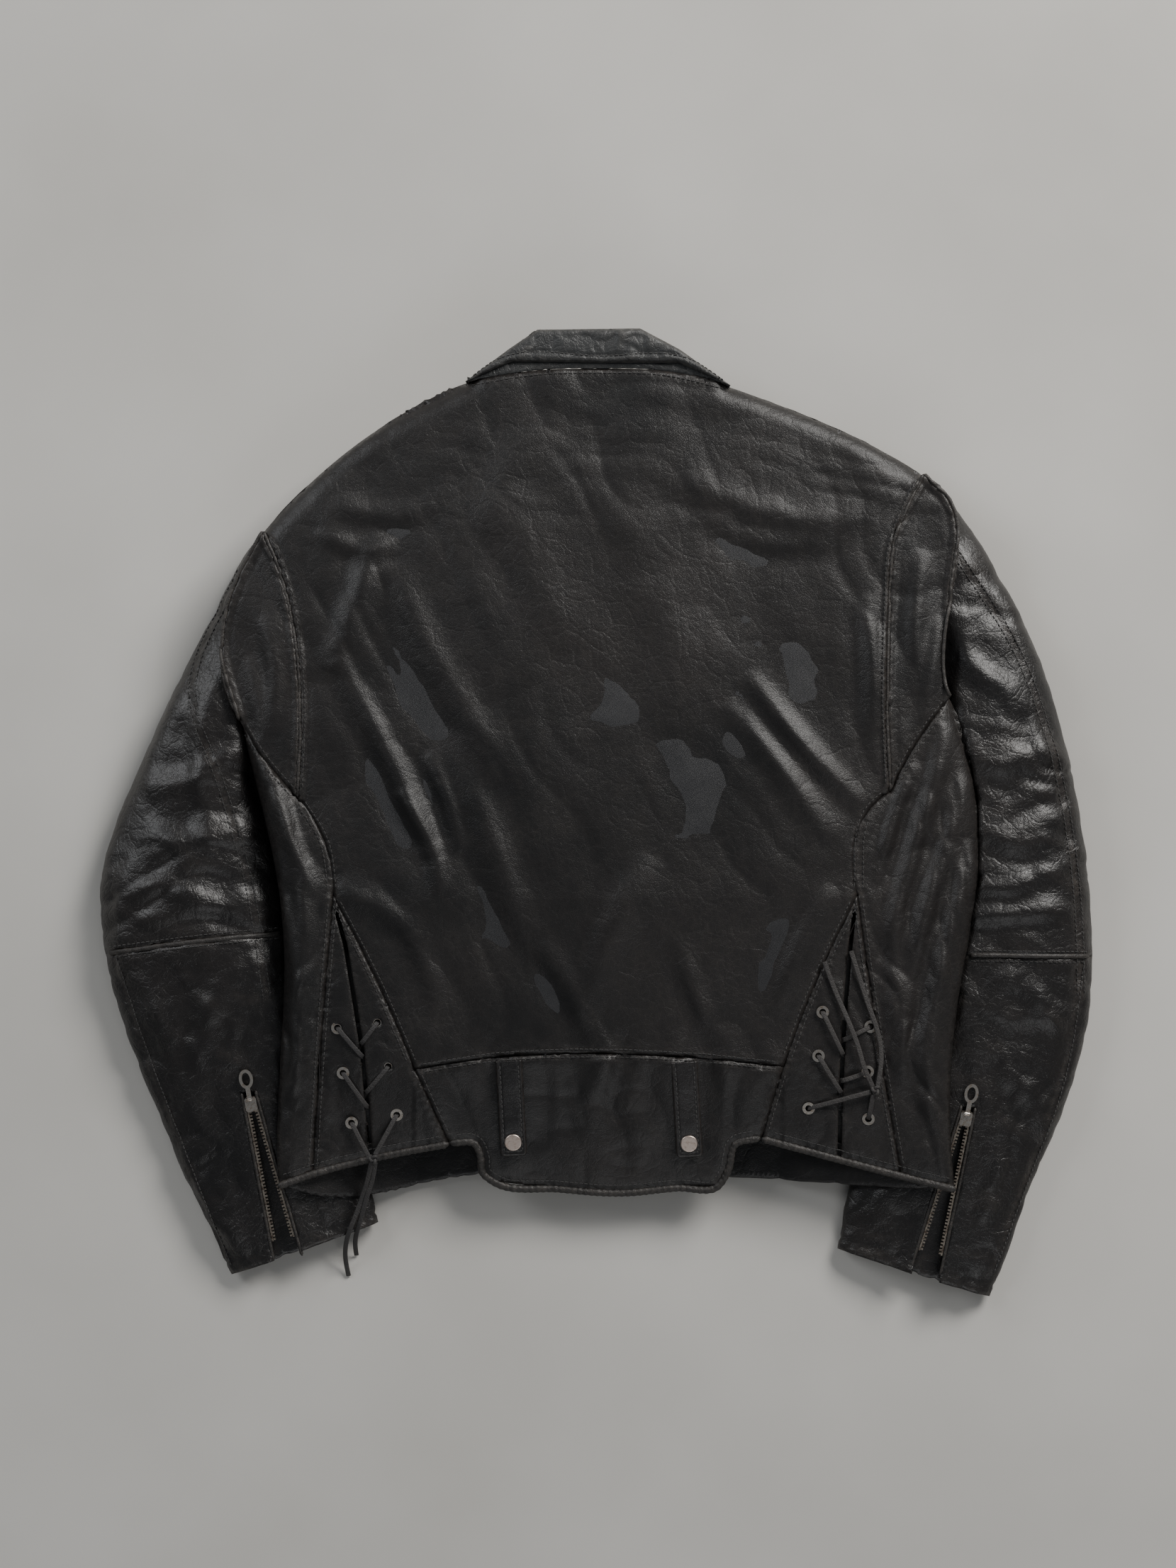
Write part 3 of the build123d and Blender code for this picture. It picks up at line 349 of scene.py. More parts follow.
# ---------------------------------------------------------------------------------- the materials
class Look:
    """A material under construction, with short calls for the nodes that it is made of."""

    def __init__(self, name):
        self.material = bpy.data.materials.new(name)
        self.material.use_nodes = True
        self.tree = self.material.node_tree
        self.surface = self.tree.nodes["Principled BSDF"]

    def node(self, kind, inputs, **settings):
        made = self.tree.nodes.new("ShaderNode" + kind)
        for key, value in settings.items():
            setattr(made, key, value)
        for key, value in inputs.items():
            self.feed(made, key, value)
        return made

    def feed(self, node, key, value):
        if isinstance(value, bpy.types.NodeSocket):
            self.tree.links.new(value, node.inputs[key])
        else:
            node.inputs[key].default_value = value

    def attribute(self, name, output):
        return self.node("Attribute", {}, attribute_name=name).outputs[output]

    def object_place(self):
        return self.node("TexCoord", {}).outputs["Object"]

    def cloud(self, place, scale, detail, rough=0.5, output="Fac"):
        """Fractal noise."""
        inputs = {"Vector": place, "Scale": scale, "Detail": detail, "Roughness": rough}
        return self.node("TexNoise", inputs).outputs[output]

    def cells(self, place, scale, stops):
        """A net of valleys between cells, through a ramp."""
        inputs = {"Vector": place, "Scale": scale}
        made = self.node("TexVoronoi", inputs, feature="DISTANCE_TO_EDGE")
        return self.ramp(made.outputs["Distance"], stops)

    def vectors(self, operation, a, b):
        return self.node("VectorMath", {0: a, 1: b}, operation=operation).outputs["Vector"]

    def maths(self, operation, a, b):
        return self.node("Math", {0: a, 1: b}, operation=operation).outputs["Value"]

    def times(self, a, b):
        return self.maths("MULTIPLY", a, b)

    def plus(self, a, b):
        return self.maths("ADD", a, b)

    def ramp(self, factor, stops):
        """A colour ramp; each stop is a place and a grey or a colour."""
        made = self.node("ValToRGB", {"Fac": factor})
        elements = made.color_ramp.elements
        while len(elements) < len(stops):
            elements.new(0.5)
        for element, (place, colour) in zip(elements, stops):
            element.position = place
            element.color = (*colour, 1) if hasattr(colour, "__len__") else (colour, colour, colour, 1)
        return made.outputs["Color"]

    def mix(self, factor, a, b):
        """Colour a turning into colour b."""
        made = self.node("Mix", {0: factor}, data_type="RGBA")
        for index, value in ((6, a), (7, b)):
            self.feed(made, index, value if isinstance(value, bpy.types.NodeSocket) else (*value, 1))
        return made.outputs[2]

    def bump(self, layers):
        """Bump layers of height, strength and depth in metres, one over the other."""
        normal = None
        for height, strength, depth in layers:
            made = self.node("Bump", {"Height": height, "Strength": strength, "Distance": depth})
            if normal:
                self.tree.links.new(normal, made.inputs["Normal"])
            normal = made.outputs["Normal"]
        self.finish({"Normal": normal})

    def finish(self, inputs):
        for key, value in inputs.items():
            self.feed(self.surface, key, value)


def leather(name, dark, brown, worn, rough=0.46, grain=0.5, crease=0.5, coat=0.0, crease_size=60.0,
            still=False):
    """Aged cowhide: pebbled grain, a network of fine creases, uneven dye and pale worn edges.

    A still piece is a curve, which has no rest attribute and never bends.
    """
    look = Look(name)
    place = look.object_place() if still else look.attribute("rest", "Vector")
    wear = look.attribute("wear", "Fac")
    wander = look.cloud(place, 45.0, 3.0, output="Color")
    warped = look.vectors("ADD", place, look.vectors("MULTIPLY", wander, (0.012, 0.012, 0.012)))
    pebble = look.cells(place, 820.0, [(0.0, 0.0), (0.28, 1.0)])
    pores = look.cloud(place, 2100.0, 2.0)
    patch = look.ramp(look.cloud(place, 11.0, 4.0, 0.6), [(0.25, 0.05), (0.75, 0.9)])
    nets = []
    for scale, stops in (
        (crease_size, [(0.0, 0.0), (0.09, 0.75), (0.4, 1.0)]),
        (crease_size * 3.1, [(0.0, 0.0), (0.12, 0.8), (0.5, 1.0)]),
    ):
        net = look.cells(warped, scale, stops)
        nets.append(look.plus(look.times(look.maths("SUBTRACT", net, 1.0), patch), 1.0))
    net, fine = nets
    rumple = look.cloud(warped, 130.0, 5.0, 0.6)

    # dye, worn where the leather folds and at its seams
    dye = look.ramp(look.cloud(place, 6.5, 5.0, 0.62), [(0.34, dark), (0.7, brown)])
    lines = look.times(look.maths("SUBTRACT", 1.0, fine), patch)
    dye = look.mix(look.times(lines, 0.16), dye, worn)
    scuff = look.ramp(look.cloud(warped, 240.0, 6.0, 0.7), [(0.42, 0.0), (0.62, 1.0)])
    rubbed = look.times(wear, look.plus(look.times(scuff, 0.75), 0.25))
    dye = look.mix(rubbed, dye, worn)
    gloss = look.plus(look.times(patch, 0.10), rough - 0.08)
    gloss = look.plus(gloss, look.times(pores, 0.12))
    look.bump((
        (rumple, 0.35 * crease, 0.0022), (net, 0.55 * crease, 0.0011), (fine, 0.5 * crease, 0.0006),
        (pebble, 0.55 * grain, 0.00028), (pores, 0.4 * grain, 0.0002),
    ))
    look.finish({
        "Base Color": dye, "Roughness": gloss, "Specular IOR Level": 0.5, "Coat Weight": coat,
        "Coat Roughness": 0.32,
    })
    return look.material


def metal(name, bright, dull, rough, tarnish=0.45):
    """Plated metal with patches of tarnish and fine scratches."""
    look = Look(name)
    place = look.object_place()
    spots = look.ramp(look.cloud(place, 420.0, 6.0, 0.65), [(tarnish, 0.0), (tarnish + 0.2, 1.0)])
    rub = look.cloud(place, 1800.0, 3.0)
    level = look.plus(look.plus(look.times(spots, 0.16), look.times(rub, 0.2)), rough)
    look.bump([(rub, 0.25, 0.0002)])
    look.finish({"Base Color": look.mix(spots, bright, dull), "Roughness": level, "Metallic": 1.0})
    return look.material


def woven(name, dark, light, threads, rough):
    """A close weave, for the lining's satin, the zips' tapes and sewing thread."""
    look = Look(name)
    place = look.attribute("rest", "Vector")
    waves = []
    for turn in (0.785, -0.785):
        spun = look.node("VectorRotate", {"Vector": place, "Angle": turn}, rotation_type="Z_AXIS")
        inputs = {"Vector": spun.outputs["Vector"], "Scale": threads, "Distortion": 0.3}
        waves.append(look.node("TexWave", inputs).outputs["Fac"])
    weave = look.times(*waves)
    soft = look.cloud(place, 30.0, 4.0)
    tint = look.plus(look.times(weave, 0.6), look.times(soft, 0.4))
    look.bump([(weave, 0.5, 0.0003)])
    look.finish({
        "Base Color": look.ramp(tint, [(0.1, dark), (0.8, light)]), "Sheen Weight": 0.25,
        "Roughness": look.plus(look.times(soft, 0.15), rough),
    })
    return look.material


BLACK, BROWN, WORN = (0.0050, 0.0048, 0.0050), (0.0125, 0.0105, 0.0100), (0.060, 0.051, 0.045)
HIDE = leather("jacket_leather", BLACK, BROWN, WORN, rough=0.40, grain=0.5, crease=0.38)
SLEEVE_HIDE = leather(
    "sleeve_leather", (0.005, 0.0048, 0.0051), (0.0135, 0.0112, 0.0105), WORN, rough=0.34, grain=0.45,
    crease=0.7, coat=0.12, crease_size=75.0,
)
COLLAR_HIDE = leather(
    "collar_leather", (0.020, 0.0215, 0.0225), (0.038, 0.0375, 0.0365), (0.13, 0.122, 0.112), rough=0.45,
    grain=0.5, crease=0.95, crease_size=95.0,
)
STRAP_HIDE = leather(
    "strap_leather", (0.0055, 0.0052, 0.0055), (0.011, 0.009, 0.009), WORN, rough=0.34, grain=0.35,
    crease=0.25, coat=0.1, crease_size=90.0,
)
WORN_HIDE = leather(
    "worn_edge_leather", (0.007, 0.0066, 0.0066), (0.020, 0.0175, 0.0162), (0.072, 0.062, 0.054), rough=0.5,
    grain=0.4, crease=0.6, crease_size=130.0,
)
LACE_HIDE = leather(
    "lace_suede", (0.020, 0.019, 0.020), (0.040, 0.036, 0.034), (0.13, 0.115, 0.10), rough=0.62,
    grain=0.8, crease=0.6, crease_size=260.0,
)
SATIN = woven("lining_satin", (0.004, 0.004, 0.005), (0.016, 0.016, 0.019), 420.0, 0.34)
TAPE = woven("zip_tape_cloth", (0.006, 0.006, 0.006), (0.024, 0.022, 0.021), 700.0, 0.7)
THREAD = woven("black_thread", (0.008, 0.0075, 0.0075), (0.034, 0.030, 0.028), 1500.0, 0.5)
NICKEL = metal("aged_nickel", (0.62, 0.58, 0.53), (0.26, 0.21, 0.17), 0.22)
CAP_METAL = metal("rosy_nickel", (0.66, 0.56, 0.50), (0.42, 0.32, 0.26), 0.28, tarnish=0.5)
ZIP_METAL = metal("aged_zip_metal", (0.44, 0.39, 0.33), (0.10, 0.075, 0.06), 0.3, tarnish=0.42)


# --------------------------------------------------------------------------------- making the pieces
def mesh_piece(name, points, faces, material, body, nodes=(), wear=None, thick=0.0):
    """A mesh from millimetres, with the attributes its material reads, riding on its body."""
    mesh = bpy.data.meshes.new(name)
    metres = np.asarray(points, float) * MM
    mesh.from_pydata(metres.tolist(), [], [list(map(int, f)) for f in faces])
    mesh.validate()
    mesh.attributes.new("rest", "FLOAT_VECTOR", "POINT").data.foreach_set(
        "vector", metres.astype(np.float32).ravel()
    )
    worn = mesh.attributes.new("wear", "FLOAT", "POINT")
    if wear is not None:
        worn.data.foreach_set("value", np.clip(wear, 0, 1).astype(np.float32))
    mesh.shade_smooth()
    mesh.materials.append(material)
    made = bpy.data.objects.new(name, mesh)
    bpy.context.scene.collection.objects.link(made)
    if thick:
        solid = made.modifiers.new("thickness", "SOLIDIFY")
        solid.thickness, solid.offset = thick * MM, -1.0
    if body:
        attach(made, body)
    if nodes:
        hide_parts(*nodes)
    return made


def top_loops(node, lowest=0.35):
    """The closed outlines, in plan and millimetres, of the upward faces of a CAD node."""
    work = bmesh.new()
    work.from_mesh(NODES[node].data)
    bmesh.ops.remove_doubles(work, verts=work.verts, dist=0.00002)
    up = {f for f in work.faces if f.normal.z > lowest}
    follow = {}
    for face in up:
        for corner in face.loops:
            if sum(f in up for f in corner.edge.link_faces) == 1:
                start, end = corner.vert, corner.link_loop_next.vert
                follow.setdefault(start, []).append(end)
    loops = []
    while follow:
        start = next(iter(follow))
        loop, here = [], start
        while here in follow:
            loop.append(here)
            ends = follow[here]
            there = ends.pop()
            if not ends:
                del follow[here]
            here = there
            if here is start:
                break
        xy = np.array([(v.co.x, v.co.y) for v in loop]) / MM
        if len(xy) > 2:
            loops.append(xy)
    work.free()
    return sorted(loops, key=lambda p: -abs(loop_area(p)))


def loop_area(p):
    q = np.roll(p, -1, axis=0)
    return 0.5 * float((p[:, 0] * q[:, 1] - q[:, 0] * p[:, 1]).sum())


def even_loop(loop, step):
    """A closed outline with its long edges divided, and points that nearly coincide left out."""
    kept = [loop[0]]
    for p in loop[1:]:
        if np.linalg.norm(p - kept[-1]) > 0.3 * step:
            kept.append(p)
    if np.linalg.norm(kept[-1] - kept[0]) < 0.3 * step:
        kept.pop()
    made = []
    for a, b in zip(kept, kept[1:] + kept[:1]):
        count = max(1, int(round(np.linalg.norm(b - a) / step)))
        made.extend(a + (b - a) * k / count for k in range(count))
    return np.array(made)


def filled(loops, step, seed=1):
    """Points and triangles that fill an outline and leave its holes open."""
    loops = [even_loop(p, step if i == 0 else step * 0.6) for i, p in enumerate(loops)]
    outer = loops[0]
    low, high = outer.min(0), outer.max(0)
    rows = np.arange(low[1], high[1], step * 0.866)
    grid = []
    for k, y in enumerate(rows):
        x = np.arange(low[0] + (k % 2) * step / 2, high[0], step)
        grid.append(np.column_stack([x, np.full(len(x), y)]))
    grid = np.concatenate(grid)
    grid = grid + np.random.default_rng(seed).uniform(-0.12, 0.12, grid.shape) * step
    keep = inside(grid, outer)
    for hole in loops[1:]:
        keep &= ~inside(grid, hole)
    grid = grid[keep]
    for p in loops:
        closed = np.vstack([p, p[:1]])
        grid = grid[nearest(grid, closed)[0] > 0.5 * step]
    points = np.concatenate([*loops, grid])
    edges, start = [], 0
    for p in loops:
        edges += [(start + i, start + (i + 1) % len(p)) for i in range(len(p))]
        start += len(p)
    out = delaunay_2d_cdt([Vector(p) for p in points], edges, [], 0, 1e-4)
    xy = np.array([tuple(v) for v in out[0]])
    faces = np.array(out[2])
    middle = xy[faces].mean(1)
    keep = inside(middle, outer)
    for hole in loops[1:]:
        keep &= ~inside(middle, hole)
    faces = faces[keep]
    used = np.unique(faces)
    renumber = np.full(len(xy), -1)
    renumber[used] = np.arange(len(used))
    faces = renumber[faces]
    a, b, c = (xy[used][faces[:, i]] for i in range(3))
    flip = (b[:, 0] - a[:, 0]) * (c[:, 1] - a[:, 1]) - (b[:, 1] - a[:, 1]) * (c[:, 0] - a[:, 0]) < 0
    faces[flip] = faces[flip][:, ::-1]
    return xy[used], faces, loops


def tube(path, radius, sides=10, closed=False, flat=1.0, ribs=0.0, pitch=4.0, taper=True):
    """Points and faces of a round or flattened bead along a path in space."""
    p = np.asarray(path, float)
    n = len(p)
    ahead = np.roll(p, -1, axis=0) - np.roll(p, 1, axis=0)
    if not closed:
        ahead[0], ahead[-1] = p[1] - p[0], p[-1] - p[-2]
    ahead /= np.linalg.norm(ahead, axis=1)[:, None]
    up = np.tile((0.0, 0.0, 1.0), (n, 1))
    up[np.abs(ahead[:, 2]) > 0.9] = (0.0, 1.0, 0.0)
    across = np.cross(ahead, up)
    across /= np.linalg.norm(across, axis=1)[:, None]
    up = np.cross(across, ahead)
    gap = np.concatenate([[0], np.cumsum(np.linalg.norm(np.diff(p, axis=0), axis=1))])
    size = radius * (1 + ribs * np.sin(gap / pitch * 2 * np.pi))
    if taper and not closed:
        size = size * np.clip(np.minimum(gap, gap[-1] - gap) / (1.5 * radius) + 0.35, 0, 1)
    turn = np.arange(sides) / sides * 2 * np.pi
    ring = across[:, None] * np.cos(turn)[None, :, None] + up[:, None] * flat * np.sin(turn)[None, :, None]
    points = (p[:, None] + ring * size[:, None, None]).reshape(-1, 3)
    faces = []
    for i in range(n if closed else n - 1):
        j = (i + 1) % n
        for k in range(sides):
            m = (k + 1) % sides
            faces.append((i * sides + m, i * sides + k, j * sides + k, j * sides + m))
    if not closed:
        faces.append(tuple(range(sides)))
        faces.append(tuple((n - 1) * sides + k for k in reversed(range(sides))))
    return points, faces


def joined(parts):
    """Several point and face lists as one."""
    points, faces, start = [], [], 0
    for p, f in parts:
        points.append(p)
        faces += [tuple(i + start for i in face) for face in f]
        start += len(p)
    return np.concatenate(points), faces


class Surface:
    """What lies on a made surface is dropped onto it from above."""

    def __init__(self, *groups):
        points, faces = joined(groups)
        self.tree = BVHTree.FromPolygons([Vector(p) for p in points], faces)

    def drop(self, xy, lift=0.0):
        made = []
        for x, y in xy:
            spot, normal, _, _ = self.tree.ray_cast(Vector((x, y, 200.0)), Vector((0, 0, -1)))
            if spot is None:
                spot, normal, _, _ = self.tree.find_nearest(Vector((x, y, float(back_height(x, y)))))
            made.append((spot + (normal if normal.z > 0 else -normal) * lift)[:])
        return np.array(made)


def offset_line(line, distance):
    """A line in plan moved to its own left."""
    ahead = np.gradient(line, axis=0)
    ahead /= np.linalg.norm(ahead, axis=1)[:, None]
    return line + distance * np.column_stack([-ahead[:, 1], ahead[:, 0]])


def stitch_row(surface, line, pitch=3.7, length=2.7, thick=0.42):
    """Stitches sunk into a surface along a line in plan."""
    along = np.concatenate([[0], np.cumsum(np.linalg.norm(np.diff(line, axis=0), axis=1))])
    at = np.arange(pitch / 2, along[-1], pitch)
    starts, stops = (
        surface.drop(np.column_stack([np.interp(at + d, along, line[:, i]) for i in (0, 1)]), 0.05)
        for d in (-length / 2, length / 2)
    )
    groups = []
    for a, b in zip(starts, stops):
        if np.linalg.norm(b - a) > 2 * length:
            continue
        d = b - a
        rises = ((0.0, 0.0), (0.2, 0.28), (0.5, 0.38), (0.8, 0.28), (1.0, 0.0))
        arched = np.array([a + share * d + (0, 0, rise) for share, rise in rises])
        groups.append(tube(arched, thick, sides=6))
    return joined(groups) if groups else (np.zeros((0, 3)), [])


# ------------------------------------------------------------------------------- camera and floor
FRAME_TALL, CAMERA_HIGH, LOOKED_PLANE = 1.184, 2.7, 0.035
camera = bpy.data.objects.new("camera", bpy.data.cameras.new("camera"))
bpy.context.scene.collection.objects.link(camera)
camera.location = (-0.008, 0.024, CAMERA_HIGH)
camera.data.sensor_width = 36.0
camera.data.lens = 18.0 / (FRAME_TALL / 2 / (CAMERA_HIGH - LOOKED_PLANE))
bpy.context.scene.camera = camera


# ------------------------------------------------------------------------------------ the cords
def lace_curve(name, points, material, node):
    """A flat leather thong along one open NURBS spline through its route, in metres."""
    data = bpy.data.curves.new(name, "CURVE")
    data.dimensions = "3D"
    data.twist_mode = "Z_UP"
    data.extrude, data.bevel_depth, data.bevel_resolution = 0.0011, 0.0007, 3
    data.use_fill_caps = True
    spline = data.splines.new("NURBS")
    spline.points.add(len(points) - 1)
    for control, p in zip(spline.points, points):
        control.co = (*(Vector(p) * MM), 1.0)
        control.tilt = math.pi / 2
    spline.order_u, spline.use_endpoint_u, spline.resolution_u = 3, True, 8
    data.materials.append(material)
    made = bpy.data.objects.new(name, data)
    bpy.context.scene.collection.objects.link(made)
    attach(made, "jacket")
    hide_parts(node)
    return made


def lacing_points(side):
    """Turn points of a lace: over the leather from each start to each end, then down and under."""
    points, strands = [], LACING_ROUTE[side]
    for number, (start, extra, end) in enumerate(strands):
        first = LACE_OVER + (extra if number == 0 else 0)
        last = LACE_OVER + (extra if number == len(strands) - 1 else 0)
        if number:
            points.append(on_back(*start, LACE_UNDER)[0])
        points.append(on_back(*start, first)[0])
        points.append(on_back(*end, last)[0])
        if number < len(strands) - 1:
            points.append(on_back(*end, LACE_UNDER)[0])
    return points


THONG_HIDE = leather(
    "lace_thong", (0.020, 0.019, 0.020), (0.042, 0.038, 0.036), (0.13, 0.115, 0.10), rough=0.6,
    grain=0.8, crease=0.6, crease_size=260.0, still=True,
)
for side, way in SIDES:
    lace_curve(f"lace_through_eyelets_{side}", lacing_points(side), THONG_HIDE, f"lace_{side}")
    for tail, letter, long in zip(TAILS[side], "ab", TAIL_LENGTH[side]):
        spots = tail if side == "left" else [on_back(x, y, lift)[0] for x, y, lift in tail]
        made = lace_curve(f"lace_end_{side}_{letter}", spots, THONG_HIDE, f"lace_tail_{side}_{letter}")
    centre, up = on_back(*KNOT[side], KNOT_LIFT)
    t = np.linspace(0, 2 * np.pi, 90, endpoint=False)
    knot = np.column_stack([
        1.0 * (np.sin(t) + 2 * np.sin(2 * t)), 1.15 * (np.cos(t) - 2 * np.cos(2 * t)),
        -1.25 * np.sin(3 * t),
    ]) + np.array(centre)
    points, faces = tube(knot, 1.35, sides=10, closed=True)
    mesh_piece(f"knot_{side}", points, faces, LACE_HIDE, "jacket", [f"lace_knot_{side}"])


# ------------------------------------------------------------------------------ relief of the back
BACK_FOLDS = [  # points, height, half width
    ([(-162, 213), (-183, 154), (-200, 107)], 2.2, 11),
    ([(-156, 190), (-129, 125), (-97, 71), (-73, 24)], 2.6, 13),
    ([(-197, 119), (-165, 60), (-140, 5), (-128, -32)], 2.8, 9),
    ([(-129, 48), (-112, 6), (-103, -29)], 2.6, 7),
    ([(-150, 20), (-126, -20), (-118, -60)], 2.4, 7),
    ([(-120, 60), (-88, 0), (-62, -70), (-40, -120)], 2.4, 12),
    ([(-197, -53), (-144, -83), (-118, -150)], 2.0, 9),
    ([(-43, -94), (-22, -130), (-2, -171)], 2.0, 9),
    ([(40, -30), (8, -90), (-14, -150)], 1.8, 12),
    ([(60, -90), (70, -130), (90, -172)], 1.5, 8),
    ([(110, 107), (158, 48), (199, 6)], 2.8, 8),
    ([(96, 86), (140, 30), (172, -20)], 2.0, 9),
    ([(199, 166), (205, 120), (206, 60)], 2.4, 8),
    ([(175, -53), (150, -100), (132, -150)], 2.0, 9),
    ([(60, 255), (110, 232), (160, 222), (210, 224)], 1.6, 11),
    ([(70, 228), (120, 208), (185, 205)], 1.2, 9),
    ([(-200, 235), (-160, 226), (-120, 232)], 1.2, 9),
    ([(-212, 214), (-178, 200), (-150, 206)], 1.0, 7),
    ([(-60, 250), (-50, 190), (-28, 120)], 1.6, 18),
    ([(-30, 300), (-66, 262), (-84, 210)], 1.2, 14),
    ([(40, 180), (56, 130), (50, 60)], 1.2, 20),
]
SIDE_FOLDS = [
    ([(-262, 60), (-240, 0), (-222, -70), (-220, -140)], 3.4, 8),
    ([(-244, 30), (-228, -20), (-212, -60)], 2.6, 6),
    ([(-236, -60), (-226, -130), (-228, -220)], 2.8, 7),
    ([(-250, 20), (-238, -50), (-234, -110)], 2.4, 6),
    ([(262, 70), (250, 20), (232, -40), (216, -100)], 3.4, 8),
    ([(276, 30), (262, -20), (240, -90), (232, -150)], 3.2, 8),
    ([(280, -30), (262, -90), (248, -170), (250, -240)], 3.0, 7),
    ([(238, 40), (222, 0), (208, -50)], 2.4, 6),
    ([(228, -60), (222, -120), (236, -200)], 2.2, 7),
    ([(-252, 150), (-244, 110), (-246, 60)], 2.0, 7),
    ([(-262, 120), (-256, 80), (-250, 50)], 1.6, 6),
    ([(244, 200), (238, 150), (240, 90)], 2.2, 8),
    ([(256, 150), (250, 110), (244, 66)], 1.6, 6),
]


def body_relief(xy):
    """Folds and wrinkles of the whole back, so that neighbours meet in the same surface."""
    x, y = xy[:, 0], xy[:, 1]
    z = np.zeros(len(xy))
    for points, height, width in BACK_FOLDS + SIDE_FOLDS:
        z += fold(xy, points, 1.7 * height, width)
    z += 2.2 * noise(xy, (70, 95), 3) + 1.1 * noise(turned(xy, 30), (34, 60), 4)
    calm = 1 - 0.75 * np.exp(-(((x - 35) / 120) ** 2) - (((y - 90) / 150) ** 2))
    z += calm * pillows(xy, 1.7, (30, 75), 5, turn=28)
    rough = step_up(165, 235, np.abs(x)) * step_up(90, -20, y)
    z += rough * pillows(np.column_stack([np.abs(x), y]), 3.0, (13, 60), 6, turn=14)
    z += rough * pillows(xy, 0.8, (9, 24), 7, turn=-25)
    z += step_up(185, 235, y) * pillows(xy, 0.8, (48, 16), 8, turn=-8, mean=0.3)
    z += pillows(xy, 0.45, (11, 19), 9, turn=20) * (0.5 + 0.5 * noise(xy, (80, 80), 10))
    # gathers that run down from the waist seam over the waistband, and up into the back
    line = smooth_line(WAIST, 4.0)
    far, side, along = nearest(xy, line)
    below = (side < 0) & (np.abs(x) < 139)
    wave = np.sin(along / 9.5 + 1.6 * noise(xy, (30, 60), 11))
    wave += 0.6 * np.sin(along / 5.1 + 2.2 * noise(xy, (22, 44), 12))
    z += np.where(below, 1.9 * wave * np.exp(-far / 48) * step_up(0, 5, far), 0)
    z += np.where(~below & (np.abs(x) < 150), 1.1 * wave * np.exp(-((far - 6) / 11) ** 2), 0)
    z += bell(x, 62) * step_up(-190, -215, y) * pillows(xy, 2.0, (26, 20), 13)
    laced = step_up(-90, -150, y) * step_up(140, 160, np.abs(x)) * step_up(225, 212, np.abs(x))
    return z + laced * pillows(xy, 1.1, (11, 17), 14, turn=60)


ROLL_RADIUS = 15.0
EDGE_KINDS = {}  # seam lines in plan, each with how the leather meets there
for side, way in SIDES:
    EDGE_KINDS[f"shoulder_{side}"] = (smooth_line(SHOULDER[side]), "roll")
    EDGE_KINDS[f"armhole_{side}"] = (smooth_line(ARMHOLE[side]), "ridge")
    EDGE_KINDS[f"pleat_{side}"] = (smooth_line(PLEAT[side]), "ridge")
    EDGE_KINDS[f"side_edge_{side}"] = (smooth_line(SIDE_EDGE[side]), "roll")
    EDGE_KINDS[f"hem_{side}"] = (smooth_line(HEM[side]), "hem")
    EDGE_KINDS[f"slit_{side}"] = (np.array(SLIT[side], float), "slit")
    for label, lines in (("side_upper", SIDE_UPPER), ("side_lower", SIDE_LOWER),
                         ("lacing_outer", LACING_OUTER), ("lacing_inner", LACING_INNER),
                         ("lacing_foot", LACING_FOOT)):
        EDGE_KINDS[f"{label}_{side}"] = (smooth_line(lines[side]), "seam")
EDGE_KINDS["waist"] = (smooth_line(WAIST), "seam")
EDGE_KINDS["tail_hem"] = (np.array(TAIL_HEM, float), "hem")
EDGE_KINDS["neck"] = (smooth_line(NECK), "seam")


def edge_profile(kind, far, along, above):
    """How much the leather drops towards an edge of that kind, and how worn it is there."""
    pucker = np.sin(along * 0.95) * bell(far - 3.2, 2.6)
    if kind == "roll":
        return -0.8 * ROLL_RADIUS * rounded(far, ROLL_RADIUS), 0.35 * np.exp(-far / 3)
    if kind == "hem":
        return -2.2 * bell(far, 4.5) + 0.25 * pucker, 0.5 * np.exp(-far / 3.5)
    if kind == "slit":
        return -0.5 * bell(far, 1.6), 0.75 * np.exp(-far / 1.6)
    if kind == "ridge":
        drop = 1.6 * bell(far - 2.2, 1.8) - 1.3 * bell(far, 1.0) - 0.7 * bell(far - 6.0, 1.6)
        return drop + 0.25 * pucker, 0.85 * np.exp(-far / 2.2)
    level = 0.9 if above else -0.3
    drop = level * bell(far, 6.0) - 1.25 * bell(far, 1.1) - 0.45 * bell(far - 3.1, 0.9)
    return drop + 0.34 * pucker, 0.3 * np.exp(-far / 1.8) + 0.2 * bell(far - 3.1, 1.4)


def body_surface(xy, edges, above=()):
    """Heights and wear over the back for a panel that has those edges."""
    z = back_height(xy[:, 0], xy[:, 1]) + body_relief(xy)
    wear = np.clip(0.22 * (0.5 - creases(turned(xy, 20), (9, 14), 21)), 0, 0.3)
    for name in edges:
        line, kind = EDGE_KINDS[name]
        far, _, along = nearest(xy, line)
        dz, worn = edge_profile(kind, far, along, name in above)
        z, wear = z + dz, wear + worn
    return z, wear


SURFACES = {}


def body_panel(name, node, edges, above=(), step=2.7, seed=1):
    """One cut piece of the back, filled, raised into its folds and given its thickness."""
    xy, faces, loops = filled(top_loops(node), step, seed)
    z, wear = body_surface(xy, edges, above)
    points = np.column_stack([xy, z])
    made = mesh_piece(name, points, faces, HIDE, "jacket", [node], wear, thick=1.8)
    area = sum(abs(loop_area(p)) * (1 if i == 0 else -1) for i, p in enumerate(loops)) * 1e-6 * 1.04
    size = (loops[0].max(0) - loops[0].min(0)) * MM
    size = size * max(1.0, math.sqrt(area / (0.98 * size[0] * size[1])))
    if area < 0.31 * size[0] * size[1]:
        size = size * math.sqrt(area / (0.31 * size[0] * size[1]))
    SURFACES[node] = (points, faces)


